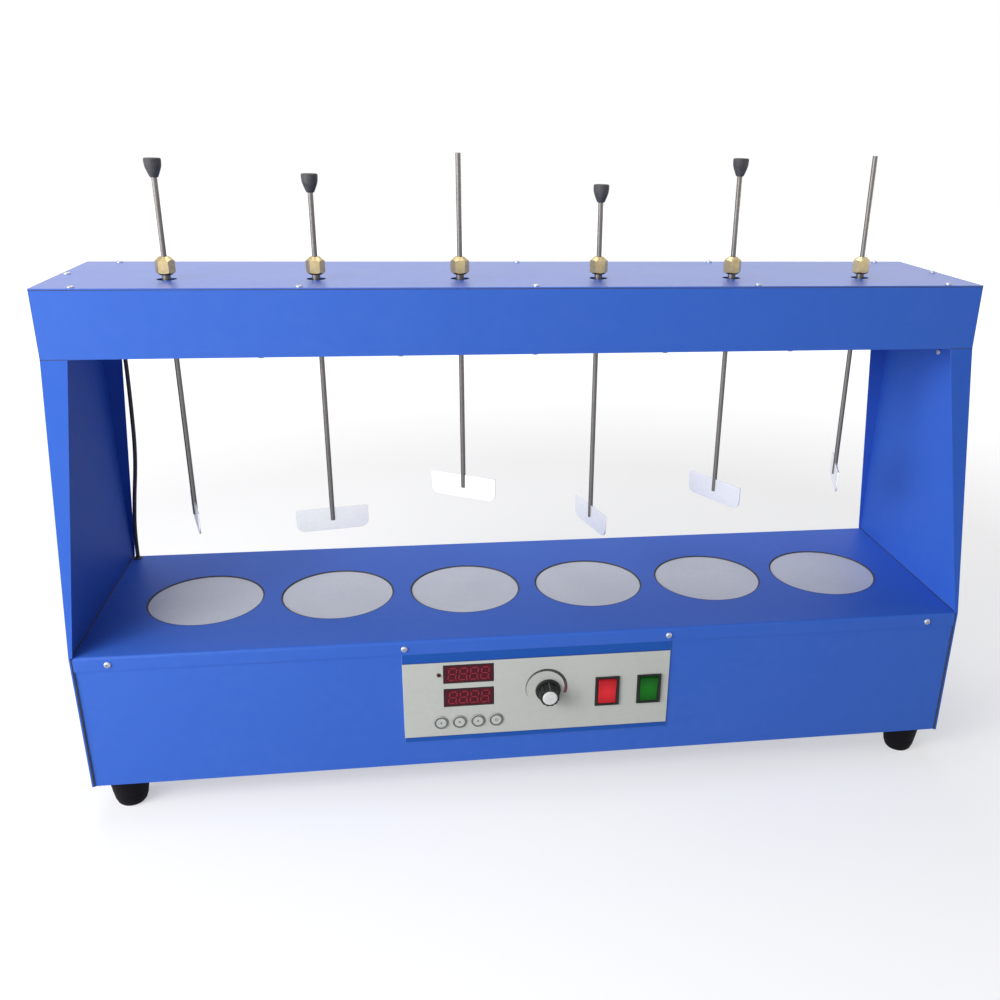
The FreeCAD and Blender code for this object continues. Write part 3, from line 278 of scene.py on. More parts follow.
class Shader(Nodes):
    """One material's nodes, with short calls for those that the finishes use."""

    def __init__(self, name: str, effects: Effects) -> None:
        """Start a material with a Principled shader.

        Args:
            name: The material's name.
            effects: The shared node groups.
        """
        self.effects = effects
        self.material = bpy.data.materials.new(name)
        self.material.use_nodes = True
        super().__init__(self.material.node_tree)
        self.tree.nodes.clear()
        self.bsdf = self.tree.nodes.new("ShaderNodeBsdfPrincipled")
        out = self.tree.nodes.new("ShaderNodeOutputMaterial")
        self.tree.links.new(self.bsdf.outputs[0], out.inputs["Surface"])
        self.place = self.add("TexCoord", output="Object")

    def set(self, **values: object) -> None:
        """Set plain values on the Principled shader.

        Args:
            **values: Socket names with underscores for spaces.
        """
        for label, value in values.items():
            self.bsdf.inputs[label.replace("_", " ")].default_value = value

    def feed(self, label: str, source: bpy.types.NodeSocket) -> None:
        """Link a socket to one input of the Principled shader."""
        self.tree.links.new(source, self.bsdf.inputs[label])

    def stretched(self, scale: Sequence[float],
                  centre: Sequence[float] = (0.0, 0.0, 0.0)) -> bpy.types.NodeSocket:
        """Object coordinates, moved to a centre and scaled.

        Args:
            scale: Scale along X, Y and Z.
            centre: The point that becomes the pattern's origin.

        Returns:
            The coordinates.
        """
        shift = self.add("VectorMath", {0: self.place, 1: centre}, operation="SUBTRACT")
        return self.add("Mapping", {"Vector": shift, "Scale": scale})

    def group(self, tree: bpy.types.NodeTree, vector: bpy.types.NodeSocket | None = None,
              **values: float) -> bpy.types.NodeSocket:
        """Place a shared effect with its own values.

        Args:
            tree: The node group.
            vector: The coordinates, or None for plain Object coordinates.
            **values: The group's number inputs.

        Returns:
            The group's output.
        """
        node = self.tree.nodes.new("ShaderNodeGroup")
        node.node_tree = tree
        self.tree.links.new(vector or self.place, node.inputs["Vector"])
        for label, value in values.items():
            node.inputs[label].default_value = value
        return node.outputs[0]

    def mix(self, share: bpy.types.NodeSocket, low: object, high: object) -> bpy.types.NodeSocket:
        """Mix two colours by a mask.

        Args:
            share: The mask.
            low: A colour or socket where the mask is 0.
            high: A colour or socket where the mask is 1.

        Returns:
            The mixed colour.
        """
        # The colour sockets of a Mix node share their names with its other sockets.
        return self.add("Mix", {"Factor": share, 6: low, 7: high}, 2, data_type="RGBA")

    def smudge(self, scale: float, amount: float) -> bpy.types.NodeSocket:
        """The mask of handling marks, by their scale and strength."""
        return self.group(self.effects.smudge, Scale=scale, Amount=amount)

    def film(self, colour: object, smear: Colour, roughness: tuple[float, float],
             scale: float, amount: float) -> bpy.types.NodeSocket:
        """Handling marks that change a colour and its roughness.

        Args:
            colour: The clean colour or socket.
            smear: The colour of the marks.
            roughness: The roughness between the marks and on them.
            scale: The marks' scale.
            amount: How strong they are.

        Returns:
            The marked colour.
        """
        mask = self.smudge(scale, amount)
        self.feed("Roughness", self.spread(mask, *roughness))
        return self.mix(mask, colour, smear)

    def rubbed_and_lit(self, colour: object, bright: Colour, amount: float) -> None:
        """Feed the colour, with rubbed edges and a painted highlight along them.

        Args:
            colour: The colour or socket between the edges.
            bright: The colour of the rubbed edges and their painted highlight.
            amount: How far they are rubbed.
        """
        rub_and_sheen = self.group(self.effects.rub_and_highlight, Amount=amount)
        self.feed("Base Color", self.mix(rub_and_sheen, colour, bright))

    def bump(self, height: bpy.types.NodeSocket, distance: float) -> None:
        """Feed a height to the shader's normal.

        Args:
            height: The height.
            distance: What a height of 1 measures, in metres.
        """
        self.feed("Normal", self.add("Bump", {"Distance": distance, "Strength": 1.0,
                                              "Height": height}))

    def grain(self, scale: float, wave: float, depth: float) -> None:
        """Raise an orange peel or a moulded grain.

        Args:
            scale: The grain's scale.
            wave: How strong its slow waves are.
            depth: What a height of 1 measures, in metres.
        """
        self.bump(self.group(self.effects.grain, Scale=scale, Wave=wave), depth)

    def lines(self, stretch: Sequence[float], scale: float, depth: float) -> None:
        """Raise drawn or brushed lines.

        Args:
            stretch: Scale along X, Y and Z; the lines run along the smallest.
            scale: The lines' scale.
            depth: What a height of 1 measures, in metres.
        """
        self.bump(self.group(self.effects.lines, self.stretched(stretch), Scale=scale), depth)


# ---------------------------------------------------------------- finishes

@dataclass(frozen=True)
class Finish:
    """A finish that has a name and makes one material."""

    name: str

    def make(self, effects: Effects) -> bpy.types.Material:
        """Build the material.

        Args:
            effects: The shared node groups.

        Returns:
            The material.
        """
        shader = Shader(self.name, effects)
        self.dress(shader)
        return shader.material

    def dress(self, shader: Shader) -> None:
        """Set the nodes of this finish on its shader."""
        raise NotImplementedError


@dataclass(frozen=True)
class PowderCoat(Finish):
    """Blue sheet metal with a little orange peel."""

    colour: Colour
    roughness: float = 0.4
    gloss: float = 0.5
    coat: float = 0.5
    peel: float = 0.000035

    def dress(self, shader: Shader) -> None:
        """Cloud the blue, dull it where hands go and raise the orange peel.

        Args:
            shader: The material's nodes.
        """
        shade = shader.spread(shader.noise(shader.place, 1.7, 1.0), 0.0, 1.0, 0.3, 0.7)
        colour = shader.mix(shade, scaled(self.colour, 0.95), self.colour)
        colour = shader.mix(shader.smudge(7.0, 0.03), colour, srgb(130, 150, 205))
        # Pale blue on the rounded edges: rubbed paint and a painted highlight along the folds.
        shader.rubbed_and_lit(colour, srgb(124, 154, 228), 0.3)
        marks = shader.smudge(12.0, 0.5)
        shader.feed("Roughness", shader.spread(marks, self.roughness, self.roughness + 0.06))
        shader.set(Coat_Weight=self.coat, Coat_Roughness=0.24, Specular_IOR_Level=self.gloss)
        shader.grain(420.0, 0.8, self.peel)


@dataclass(frozen=True)
class Metal(Finish):
    """Bare metal with drawn, turned or brushed lines."""

    colour: Colour
    roughness: float = 0.25
    stretch: tuple[float, float, float] = (1.0, 1.0, 0.03)
    lines: float = 900.0
    depth: float = 0.000012
    tarnish: Colour = srgb(96, 92, 88)
    amount: float = 0.35
    metallic: float = 1.0

    def dress(self, shader: Shader) -> None:
        """Tarnish the metal, brighten its edges and raise its lines.

        Args:
            shader: The material's nodes.
        """
        colour = shader.film(self.colour, self.tarnish,
                             (self.roughness, self.roughness + 0.25), 22.0, self.amount)
        shader.rubbed_and_lit(colour, scaled(self.colour, 1.25), 0.7)
        shader.set(Metallic=self.metallic)
        shader.lines(self.stretch, self.lines, self.depth)


@dataclass(frozen=True)
class Moulding(Finish):
    """Plastic or rubber with a moulded grain."""

    colour: Colour
    roughness: float = 0.45
    grain: float = 900.0
    depth: float = 0.00002
    dust: Colour = srgb(120, 120, 120)
    amount: float = 0.12
    coat: float = 0.0
    gloss: float = 0.5

    def dress(self, shader: Shader) -> None:
        """Dust the moulding, pale its edges and raise its grain.

        Args:
            shader: The material's nodes.
        """
        colour = shader.film(self.colour, self.dust, (self.roughness, self.roughness + 0.2),
                             26.0, self.amount)
        shader.rubbed_and_lit(colour, self.dust, 0.25)
        shader.set(Coat_Weight=self.coat, Coat_Roughness=0.12, Specular_IOR_Level=self.gloss)
        shader.grain(self.grain, 0.3, self.depth)


@dataclass(frozen=True)
class PrintedPlate(Finish):
    """The silver control plate with a blue band above and below."""

    silver: Colour
    band: Colour
    rule: Colour
    top_band_z: float
    low_band_z: float
    rule_width: float = 1.1 * MM
    soft: float = 0.2 * MM

    def dress(self, shader: Shader) -> None:
        """Lay the two bands and their rules over the silver.

        Args:
            shader: The material's nodes.
        """
        z = shader.add("SeparateXYZ", {0: shader.place}, "Z")
        colour = shader.film(self.silver, srgb(170, 173, 168), (0.4, 0.55), 14.0, 0.15)
        for edge, way in ((self.top_band_z, 1), (self.low_band_z, -1)):
            start, end = (0.0, 1.0) if way > 0 else (1.0, 0.0)
            rule_z = edge + way * self.rule_width
            band = shader.spread(z, start, end, edge - self.soft, edge + self.soft)
            rule = shader.spread(z, end, start, rule_z - self.soft, rule_z + self.soft)
            colour = shader.mix(band, colour, shader.mix(rule, self.band, self.rule))
        shader.rubbed_and_lit(colour, srgb(205, 208, 206), 0.6)
        shader.set(Specular_IOR_Level=0.3)
        shader.lines((0.04, 1.0, 1.0), 1300.0, 0.000008)


@dataclass(frozen=True)
class Frosted(Finish):
    """Milky plastic of the lit windows and the lamp tubes."""

    colour: Colour
    shade: Colour
    roughness: float = 0.5

    def dress(self, shader: Shader) -> None:
        """Cloud the milky plastic and dull it in patches.

        Args:
            shader: The material's nodes.
        """
        cloud = shader.spread(shader.noise(shader.place, 6.0, 3.0), 0.0, 1.0, 0.35, 0.7)
        colour = shader.mix(cloud, self.colour, self.shade)
        shader.feed("Base Color",
                    shader.film(colour, srgb(160, 163, 172),
                                (self.roughness, self.roughness + 0.2), 18.0, 0.1))
        shader.set(Coat_Weight=0.15, Coat_Roughness=0.35)
        shader.grain(1500.0, 0.2, 0.000015)


@dataclass(frozen=True)
class Glow(Finish):
    """Clear coloured plastic, a little lighter in its middle, as on lit switches."""

    rim: Colour
    heart: Colour
    centre: tuple[float, float, float]
    reach: float
    glow: float = 0.0

    def dress(self, shader: Shader) -> None:
        """Spread the lighter heart into the rim, and let it glow.

        Args:
            shader: The material's nodes.
        """
        place = shader.stretched((1.0 / self.reach,) * 3, self.centre)
        ball = shader.add("TexGradient", {0: place}, "Fac", gradient_type="SPHERICAL")
        colour = shader.mix(shader.spread(ball, 0.0, 1.0, 0.05, 0.75), self.rim, self.heart)
        shader.feed("Base Color",
                    shader.film(colour, srgb(70, 62, 62), (0.3, 0.5), 40.0, 0.08))
        shader.set(Coat_Weight=0.04, Coat_Roughness=0.14, Specular_IOR_Level=0.12,
                   Emission_Strength=self.glow)
        shader.feed("Emission Color", colour)
        shader.grain(1200.0, 0.3, 0.00001)


@dataclass(frozen=True)
class ArcPrint(Finish):
    """Ink of the speed scale: pale at its low end, black and then red at its high end."""

    inks: tuple[tuple[float, Colour], ...] = ((0.0, srgb(158, 162, 160)),
                                              (0.28, srgb(92, 94, 94)),
                                              (0.45, srgb(26, 26, 28)),
                                              (0.82, srgb(30, 26, 28)),
                                              (1.0, srgb(128, 52, 60)))

    def dress(self, shader: Shader) -> None:
        """Run the inks along the arc.

        Args:
            shader: The material's nodes.
        """
        share = shader.add("Attribute", output="Fac", attribute_name="share")
        ramp = shader.add("ValToRGB", {0: share})
        stops = ramp.node.color_ramp.elements
        for stop, (place, colour) in zip((stops[0], stops[1]), (self.inks[0], self.inks[-1])):
            stop.position, stop.color = place, colour
        for place, colour in self.inks[1:-1]:
            stops.new(place).color = colour
        shader.feed("Base Color",
                    shader.film(ramp, srgb(130, 132, 130), (0.4, 0.55), 40.0, 0.2))


class Finishes:
    """Every finish of the machine, made once."""

    def __init__(self, effects: Effects, plate: PrintedPlate, lamps: dict[str, tuple]) -> None:
        """Make the materials.

        Args:
            effects: The shared node groups.
            plate: The control plate's finish, which needs the plate's levels.
            lamps: The centres of the red and the green rocker.
        """
        self.blue = PowderCoat("blue_powder_coat", srgb(46, 97, 203)).make(effects)
        self.dull_blue = PowderCoat("dull_blue_coat", srgb(54, 103, 204), 0.5, 0.26,
                                    0.0).make(effects)
        self.flat_blue = PowderCoat("flat_blue_coat", srgb(56, 103, 204), 0.55, 0.07,
                                    0.0).make(effects)
        self.frosted = Frosted("frosted_window", srgb(214, 217, 224),
                               srgb(200, 203, 212)).make(effects)
        self.lamp = Frosted("lamp_opal", srgb(232, 234, 236), srgb(216, 220, 226)).make(effects)
        self.steel = Metal("drawn_steel", srgb(112, 109, 107), 0.4, lines=500.0,
                           depth=0.000002, tarnish=srgb(84, 80, 78), amount=0.2).make(effects)
        self.polished = Metal("satin_steel", srgb(240, 241, 243), 0.44, (0.06, 0.06, 1.0),
                              900.0, 0.000003, srgb(190, 192, 198), 0.12, 0.7).make(effects)
        self.zinc = Metal("zinc_plate", srgb(178, 182, 196), 0.42, (1.0, 1.0, 1.0), 1500.0,
                          0.00001, amount=0.3).make(effects)
        self.brass = Metal("turned_brass", srgb(200, 182, 138), 0.3, (0.1, 0.1, 1.0), 1500.0,
                           0.000005, srgb(128, 102, 66), 0.3).make(effects)
        self.cast = Metal("cast_aluminium", srgb(176, 178, 182), 0.42, (1.0, 1.0, 1.0), 700.0,
                          0.00006, srgb(120, 122, 126), 0.4).make(effects)
        self.motor = Metal("plated_motor", srgb(132, 134, 138), 0.35, (0.2, 1.0, 1.0), 900.0,
                           0.00001, srgb(70, 70, 74), 0.5).make(effects)
        self.rubber = Moulding("black_rubber", srgb(44, 44, 50), 0.62, 1100.0, 0.00004,
                               srgb(104, 102, 104), 0.3).make(effects)
        self.foot = Moulding("foot_rubber", srgb(12, 12, 17), 0.7, 1100.0, 0.00004,
                             srgb(44, 44, 50), 0.15, gloss=0.1).make(effects)
        self.belt = Moulding("belt_rubber", srgb(36, 36, 38), 0.7, 1400.0, 0.00003,
                             srgb(90, 88, 86), 0.35).make(effects)
        self.black = Moulding("black_plastic", srgb(15, 15, 17), 0.45, 1300.0, 0.000014,
                              srgb(64, 64, 66), 0.12, gloss=0.3).make(effects)
        self.white = Moulding("white_plastic", srgb(226, 228, 226), 0.34, 1200.0, 0.00001,
                              srgb(176, 178, 176), 0.25, 0.3).make(effects)
        self.key = Moulding("key_plastic", srgb(196, 200, 195), 0.38, 1200.0, 0.00001,
                            srgb(160, 162, 160), 0.25, 0.15).make(effects)
        self.ink = Moulding("grey_ink", srgb(80, 88, 83), 0.5, 1500.0, 0.000004,
                            srgb(140, 142, 142), 0.3).make(effects)
        self.board = Moulding("board_lacquer", srgb(38, 92, 54), 0.35, 800.0, 0.00001,
                              srgb(110, 120, 104), 0.2, 0.5).make(effects)
        self.plate = plate.make(effects)
        self.lens = Moulding("red_lens", srgb(76, 18, 31), 0.4, 1500.0, 0.000004,
                             srgb(96, 40, 50), 0.08, 0.0, 0.15).make(effects)
        self.digit = Moulding("unlit_segment", srgb(150, 44, 62), 0.4, 1500.0, 0.000002,
                              srgb(132, 60, 72), 0.08, 0.0, 0.15).make(effects)
        self.red = Glow("red_switch", srgb(176, 26, 36), srgb(222, 44, 52), lamps["red"],
                        18 * MM, 0.1).make(effects)
        self.green = Glow("green_switch", srgb(2, 74, 8), srgb(6, 118, 18), lamps["green"],
                          18 * MM, 0.06).make(effects)
        self.scale = ArcPrint("speed_scale").make(effects)


# ---------------------------------------------------------------- making pieces

def middle_of(node: str) -> Vector:
    """The middle of a CAD node's box."""
    low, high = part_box(node)
    return (low + high) / 2


def loose(name: str, mesh: bmesh.types.BMesh) -> bpy.types.Object:
    """Turn a bmesh into an object of the scene.

    Args:
        name: The object's name.
        mesh: The bmesh; it is freed.

    Returns:
        The object.
    """
    data = bpy.data.meshes.new(name)
    mesh.to_mesh(data)
    mesh.free()
    item = bpy.data.objects.new(name, data)
    bpy.context.scene.collection.objects.link(item)
    return item


def place_mesh(mesh: bmesh.types.BMesh, name: str, finish: bpy.types.Material,
               body: str = "cabinet", stands_for: Sequence[str] = (),
               move: Matrix = Matrix.Identity(4)) -> bpy.types.Object:
    """Turn a bmesh into a finished piece that rides on a body.

    Args:
        mesh: The finished bmesh in metres; it is freed.
        name: The piece's name.
        finish: Its material.
        body: The body that it rides on.
        stands_for: CAD nodes that it replaces.
        move: Where the bmesh goes in the row frame.

    Returns:
        The new object.
    """
    bmesh.ops.transform(mesh, matrix=move, verts=mesh.verts)
    piece = loose(name, mesh)
    data = piece.data
    for face in data.polygons:
        face.use_smooth = True
    data.set_sharp_from_angle(angle=CREASE)
    data.materials.append(finish)
    piece.modifiers.new("flat_faces_lead", "WEIGHTED_NORMAL").keep_sharp = True
    if stands_for:
        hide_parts(*stands_for)
    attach(piece, body)
    LOG.info("%s: %d faces on %s", name, len(data.polygons), body)
    return piece


def round_over(mesh: bmesh.types.BMesh, radius: float, segments: int = 2,
               keep: Callable[[bmesh.types.BMEdge], bool] | None = None) -> None:
    """Round the sharp edges and mark the new faces for rubbing and painted highlight.

    Args:
        mesh: The bmesh.
        radius: The rounding's width in metres.
        segments: Faces across each rounding.
        keep: A further test on the edges.
    """
    mark = mesh.faces.layers.float.get("rubbed_and_lit") or mesh.faces.layers.float.new("rubbed_and_lit")
    edges = [edge for edge in mesh.edges
             if len(edge.link_faces) == 2 and edge.calc_face_angle(0.0) > CREASE
             and (keep is None or keep(edge))]
    made = bmesh.ops.bevel(mesh, geom=edges, offset=radius, offset_type="OFFSET",
                           segments=segments, profile=0.5, affect="EDGES",
                           clamp_overlap=True, material=-1)
    for face in made["faces"]:
        face[mark] = 1.0


def dressed(node: str, finish: bpy.types.Material, radius: float,
            segments: int = 2) -> bpy.types.Object:
    """A copy of a CAD node with its doubles merged and its edges rounded.

    Args:
        node: The CAD node.
        finish: The material.
        radius: The rounding's width in metres.
        segments: Faces across each rounding.

    Returns:
        The piece that replaces the node.
    """
    mesh = bmesh.new()
    mesh.from_mesh(frame["nodes"][node].data)
    bmesh.ops.remove_doubles(mesh, verts=mesh.verts, dist=WELD)
    bmesh.ops.dissolve_limit(mesh, angle_limit=FLAT, verts=mesh.verts, edges=mesh.edges)
    round_over(mesh, radius, segments)
    return place_mesh(mesh, f"{node}_finish", finish, BODY_OF[node], [node])


def coat(node: str, finish: bpy.types.Material) -> None:
    """Give a CAD node that stays its procedural material.

    Args:
        node: The CAD node.
        finish: The material.
    """
    data = frame["nodes"][node].data
    data.materials.clear()
    data.materials.append(finish)


def turned(profile: Iterable[tuple[float, float]], steps: int) -> bmesh.types.BMesh:
    """A solid of revolution about Z.

    Args:
        profile: (radius, height) points in millimetres, from the axis back to the axis,
            or a closed loop beside it.
        steps: Faces round the axis.

    Returns:
        The closed bmesh.
    """
    mesh = bmesh.new()
    points = [mesh.verts.new((radius * MM, 0.0, height * MM)) for radius, height in profile]
    edges = [mesh.edges.new(pair) for pair in zip(points, points[1:])]
    bmesh.ops.spin(mesh, geom=points + edges, axis=(0, 0, 1), cent=(0, 0, 0),
                   angle=math.tau, steps=steps, use_merge=True)
    bmesh.ops.remove_doubles(mesh, verts=mesh.verts, dist=WELD)
    bmesh.ops.recalc_face_normals(mesh, faces=mesh.faces)
    return mesh


def ring(outer: float, inner: float, thick: float, steps: int = 48) -> bmesh.types.BMesh:
    """A flat ring about Z, with its sizes in millimetres."""
    return turned([(inner, 0.0), (outer, 0.0), (outer, thick), (inner, thick), (inner, 0.0)],
                  steps)


def raised(mesh: bmesh.types.BMesh, faces: Sequence[bmesh.types.BMFace],
           move: Sequence[float]) -> tuple[list, list]:
    """Give flat faces a thickness, or add a step to a closed form.

    Args:
        mesh: The bmesh.
        faces: The faces that are copied and moved; they stay where they are.
        move: How far the copies move.

    Returns:
        The moved vertices and the moved faces.
    """
    made = bmesh.ops.extrude_face_region(mesh, geom=list(faces), use_keep_orig=True)
    rim = [item for item in made["geom"] if isinstance(item, bmesh.types.BMVert)]
    bmesh.ops.translate(mesh, vec=move, verts=rim)
    return rim, [item for item in made["geom"] if isinstance(item, bmesh.types.BMFace)]


def slab(width: float, depth: float, height: float, centre: Sequence[float]) -> bmesh.types.BMesh:
    """A block of three spans round a centre, all in metres.

    Args:
        width: Its span along X.
        depth: Its span along Y.
        height: Its span along Z.
        centre: Its middle.

    Returns:
        The bmesh.
    """
    mesh = bmesh.new()
    bmesh.ops.create_cube(mesh, size=1.0)
    bmesh.ops.scale(mesh, vec=(width, depth, height), verts=mesh.verts)
    bmesh.ops.translate(mesh, vec=centre, verts=mesh.verts)
    return mesh


def add_to(target: bmesh.types.BMesh, source: bmesh.types.BMesh,
           moves: Iterable[Matrix] = (Matrix.Identity(4),)) -> None:
    """Copy one bmesh into another at several places, and free it.

    Args:
        target: The bmesh that grows.
        source: The bmesh that is copied.
        moves: One transform for each copy.
    """
    data = bpy.data.meshes.new("stamp")
    for move in moves:
        stamp = source.copy()
        bmesh.ops.transform(stamp, matrix=move, verts=stamp.verts)
        stamp.to_mesh(data)
        stamp.free()
        target.from_mesh(data)
    source.free()
    bpy.data.meshes.remove(data)


def at(x: float, y: float, z: float, way: Axis = Axis.UP, turn: float = 0.0) -> Matrix:
    """A place in metres, a way to look and a turn about that way."""
    return Matrix.Translation((x, y, z)) @ way.value @ Matrix.Rotation(turn, 4, "Z")


# ---------------------------------------------------------------- sub-assemblies

def box_of(node: str) -> tuple:
    """A field that holds a CAD node's box."""
    return field(default_factory=lambda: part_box(node))


@dataclass
class Levels:
    """Lines of the cabinet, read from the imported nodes."""

    deck: tuple = box_of("base_deck")
    head: tuple = box_of("head_shell")
    cover: tuple = box_of("head_cover")
    base: tuple = box_of("base_shell")
    panel: tuple = box_of("control_overlay")
    right: tuple = box_of("right_side_panel")


@dataclass
class Cabinet:
    """The blue sheet-metal housing with its windows, screws and feet."""

    finishes: Finishes
    levels: Levels
    sheet_rounding: float = 0.55 * MM
    fold_rounding: float = 0.7 * MM
    disc_rounding: float = 0.3 * MM
    window_radius: float = 61.0 * MM
    disc_rim: float = 6.0 * MM
    # Section of the dark ring that stands in for the painted shade in each window recess.
    shade_ring_profile: tuple = ((0.0, -0.1), (0.0, 0.9), (0.4, 1.1), (1.2, 0.85), (1.9, -0.1),
                           (0.0, -0.1))
    # Sizes of the dark strips that stand in for the painted shade in the seams.
    shadow_strip_height: float = 0.7 * MM
    shadow_strip_rounding: float = 0.06 * MM
    shadow_strip_stand: float = 0.12 * MM
    shadow_strip_sink: float = 0.3 * MM
    screw_middle_x: float = 221.9 * MM
    screw_end_x: float = 423.0 * MM
    panel_screw_inset: float = 3.0 * MM
    lip_screw_drop: float = 8.5 * MM
    plate_screw_pitch: float = 130.85 * MM
    side_screw_inset: float = 25.0 * MM
    side_screw_low: float = 20.0 * MM
    side_screw_high: float = 123.5 * MM
    wall_screw_front: float = 62.0 * MM
    wall_screw_back: float = 12.0 * MM
    wall_screw_drop: float = 17.0 * MM
    tab_screw_front: float = 24.0 * MM
    tab_screw_back: float = 40.0 * MM
    screw_margin: float = 6.75 * MM
    sheet: float = 1.5 * MM
    column_top: float = 24.0 * MM
    foot_radius: float = 21.0 * MM
    screw_profile: tuple = ((0.0, -0.1), (3.25, -0.1), (3.4, 0.15), (3.35, 0.7), (2.95, 1.35),
                            (2.1, 1.78), (1.0, 1.9), (0.0, 1.9))
    cross: tuple = (3.6 * MM, 0.75 * MM, 1.8 * MM, 1.75 * MM)
    cross_turn: float = 0.7
    foot_profile: tuple = ((0.0, 0.0), (11.0, 0.0), (13.0, 0.5), (14.6, 2.4), (15.9, 6.2),
                           (16.3, 7.0), (17.4, 13.5), (17.1, 14.6), (17.9, 16.0),
                           (19.2, 26.0), (20.4, 34.2), (20.2, 35.5), (19.6, 36.0), (0.0, 36.0))

    def build(self) -> None:
        """Dress every piece of the housing."""
        bright, dull, flat = (self.finishes.blue, self.finishes.dull_blue,
                              self.finishes.flat_blue)
        for node, finish in (("base_shell", dull), ("head_bottom_plate", bright)):
            dressed(node, finish, self.sheet_rounding, 1)
        for node, finish in (("base_deck", dull), ("left_side_panel", flat),
                             ("right_side_panel", flat), ("head_shell", dull),
                             ("head_cover", bright)):
            dressed(node, finish, self.fold_rounding, 3)
        dressed("window_discs", self.finishes.frosted, self.disc_rounding)
        self.shade_rings()
        self.joint_shadow_lines()
        self.screws()
        self.feet()

    def shade_rings(self) -> None:
        """A dark ring round each disc in its window, standing in for the painted shade of the
        recess.
        """
        low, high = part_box("window_discs")
        reach = self.window_radius + self.disc_rim
        outer = self.window_radius / MM - 0.05
        shade_section = [(outer - inward, height) for inward, height in self.shade_ring_profile]
        shade_rings = bmesh.new()
        pitch = (high.x - low.x - 2 * reach) / (STATIONS - 1)
        places = [at(low.x + reach + number * pitch, (low.y + high.y) / 2, high.z)
                  for number in range(STATIONS)]
        add_to(shade_rings, turned(shade_section, 96), places)
        place_mesh(shade_rings, "window_shade_rings", self.finishes.belt)

    def joint_shadow_lines(self) -> None:
        """Thin dark strips where the cover, the columns, the deck and the walls meet: painted
        shade of the seams' shadow gaps.
        """
        low, high = self.levels.head
        cover, half, thin = self.levels.cover[0].z, high.x, 2 * self.shadow_strip_stand
        column = half - self.column_top / 2
        bars = [(x, y, z, wide + thin, thin) for y in (low.y, high.y)
                for x, z, wide in ((0.0, cover, 2 * half), (-column, low.z, self.column_top),
                                   (column, low.z, self.column_top))]
        bars += [(side * half, (low.y + high.y) / 2, z, thin, high.y - low.y)
                 for side in (-1, 1) for z in (cover, low.z)]
        lines = bmesh.new()
        for x, y, z, wide, deep in bars:
            add_to(lines, slab(wide, deep, self.shadow_strip_height, (x, y, z)))
        deck_low, deck_high = self.levels.deck
        inner = half - self.sheet
        gap = inner - deck_high.x
        for side in (-1, 1):
            x = side * (inner - gap / 2)
            front = deck_low.y + self.shadow_strip_sink
            for depth, height, y, z in (
                    (high.y - front, gap, (front + high.y) / 2, deck_high.z - gap / 2),
                    (gap, deck_high.z - self.levels.base[0].z, front + gap / 2,
                     (deck_high.z + self.levels.base[0].z) / 2)):
                add_to(lines, slab(gap, depth, height, (x, y, z)))
        round_over(lines, self.shadow_strip_rounding, 1)
        place_mesh(lines, "joint_shadow_strips", self.finishes.belt)

    def screw_seats(self) -> list[Matrix]:
        """Where each cabinet screw stands and which way it looks.

        Returns:
            One transform for each screw.
        """
        head_low, head_high = self.levels.head
        top = self.levels.cover[1].z
        deck_low, deck_high = self.levels.deck
        half = self.levels.right[1].x
        rows = (head_low.y + self.screw_margin, head_high.y - self.screw_margin)
        seats = [(x, y, top, Axis.UP) for x in (-self.screw_end_x, -self.screw_middle_x, 0.0,
                                                self.screw_middle_x, self.screw_end_x)
                 for y in rows]
        seats += [(side * (half - self.screw_margin), sum(rows) / 2, top, Axis.UP)
                  for side in (-1, 1)]
        seats += [(step * self.plate_screw_pitch, y, head_low.z, Axis.DOWN)
                  for step in (-2, -1, 0, 1, 2) for y in rows]
        beside = (self.levels.panel[0].x + self.panel_screw_inset,
                  self.levels.panel[1].x - self.panel_screw_inset)
        for x in (-self.screw_end_x, *beside, self.screw_end_x):
            z = deck_high.z - self.lip_screw_drop
            seats += [(x, deck_low.y, z, Axis.FRONT), (x, deck_high.y, z, Axis.BACK)]
        floor = self.levels.base[0].z
        for side, way, inward in ((-1, Axis.LEFT, Axis.RIGHT), (1, Axis.RIGHT, Axis.LEFT)):
            seats += [(side * half, y, floor + z, way)
                      for y in (deck_low.y + self.side_screw_inset,
                                deck_high.y - self.side_screw_inset)
                      for z in (self.side_screw_low, self.side_screw_high)]
            x = side * (half - self.column_top / 2)
            seats += [(x, y, head_low.z - self.sheet, Axis.DOWN)
                      for y in (head_low.y + self.tab_screw_front,
                                head_high.y - self.tab_screw_back)]
            seats += [(side * (half - self.sheet), y, head_low.z - self.wall_screw_drop, inward)
                      for y in (head_low.y + self.wall_screw_front,
                                head_high.y - self.wall_screw_back)]
        return [at(x, y, z, way, self.cross_turn * index)
                for index, (x, y, z, way) in enumerate(seats)]

    def screws(self) -> None:
        """Domed screw heads with a cross recess."""
        long, wide, deep, level = self.cross
        cross = slab(long, wide, deep, (0, 0, level))
        add_to(cross, slab(wide, long, deep, (0, 0, level)))
        blank, cutter = (loose("screw_blank", turned(self.screw_profile, 20)),
                         loose("screw_cross", cross))
        carve = blank.modifiers.new("cross", "BOOLEAN")
        carve.operation = "DIFFERENCE"
        carve.solver = "EXACT"
        carve.use_self = True
        carve.object = cutter
        graph = bpy.context.evaluated_depsgraph_get()
        carved = bpy.data.meshes.new_from_object(blank.evaluated_get(graph))
        stamp = bmesh.new()
        stamp.from_mesh(carved)
        for item in (blank, cutter):
            bpy.data.objects.remove(item)
        screws = bmesh.new()
        add_to(screws, stamp, self.screw_seats())
        place_mesh(screws, "screw_heads", self.finishes.zinc,
                   stands_for=["case_screws"])

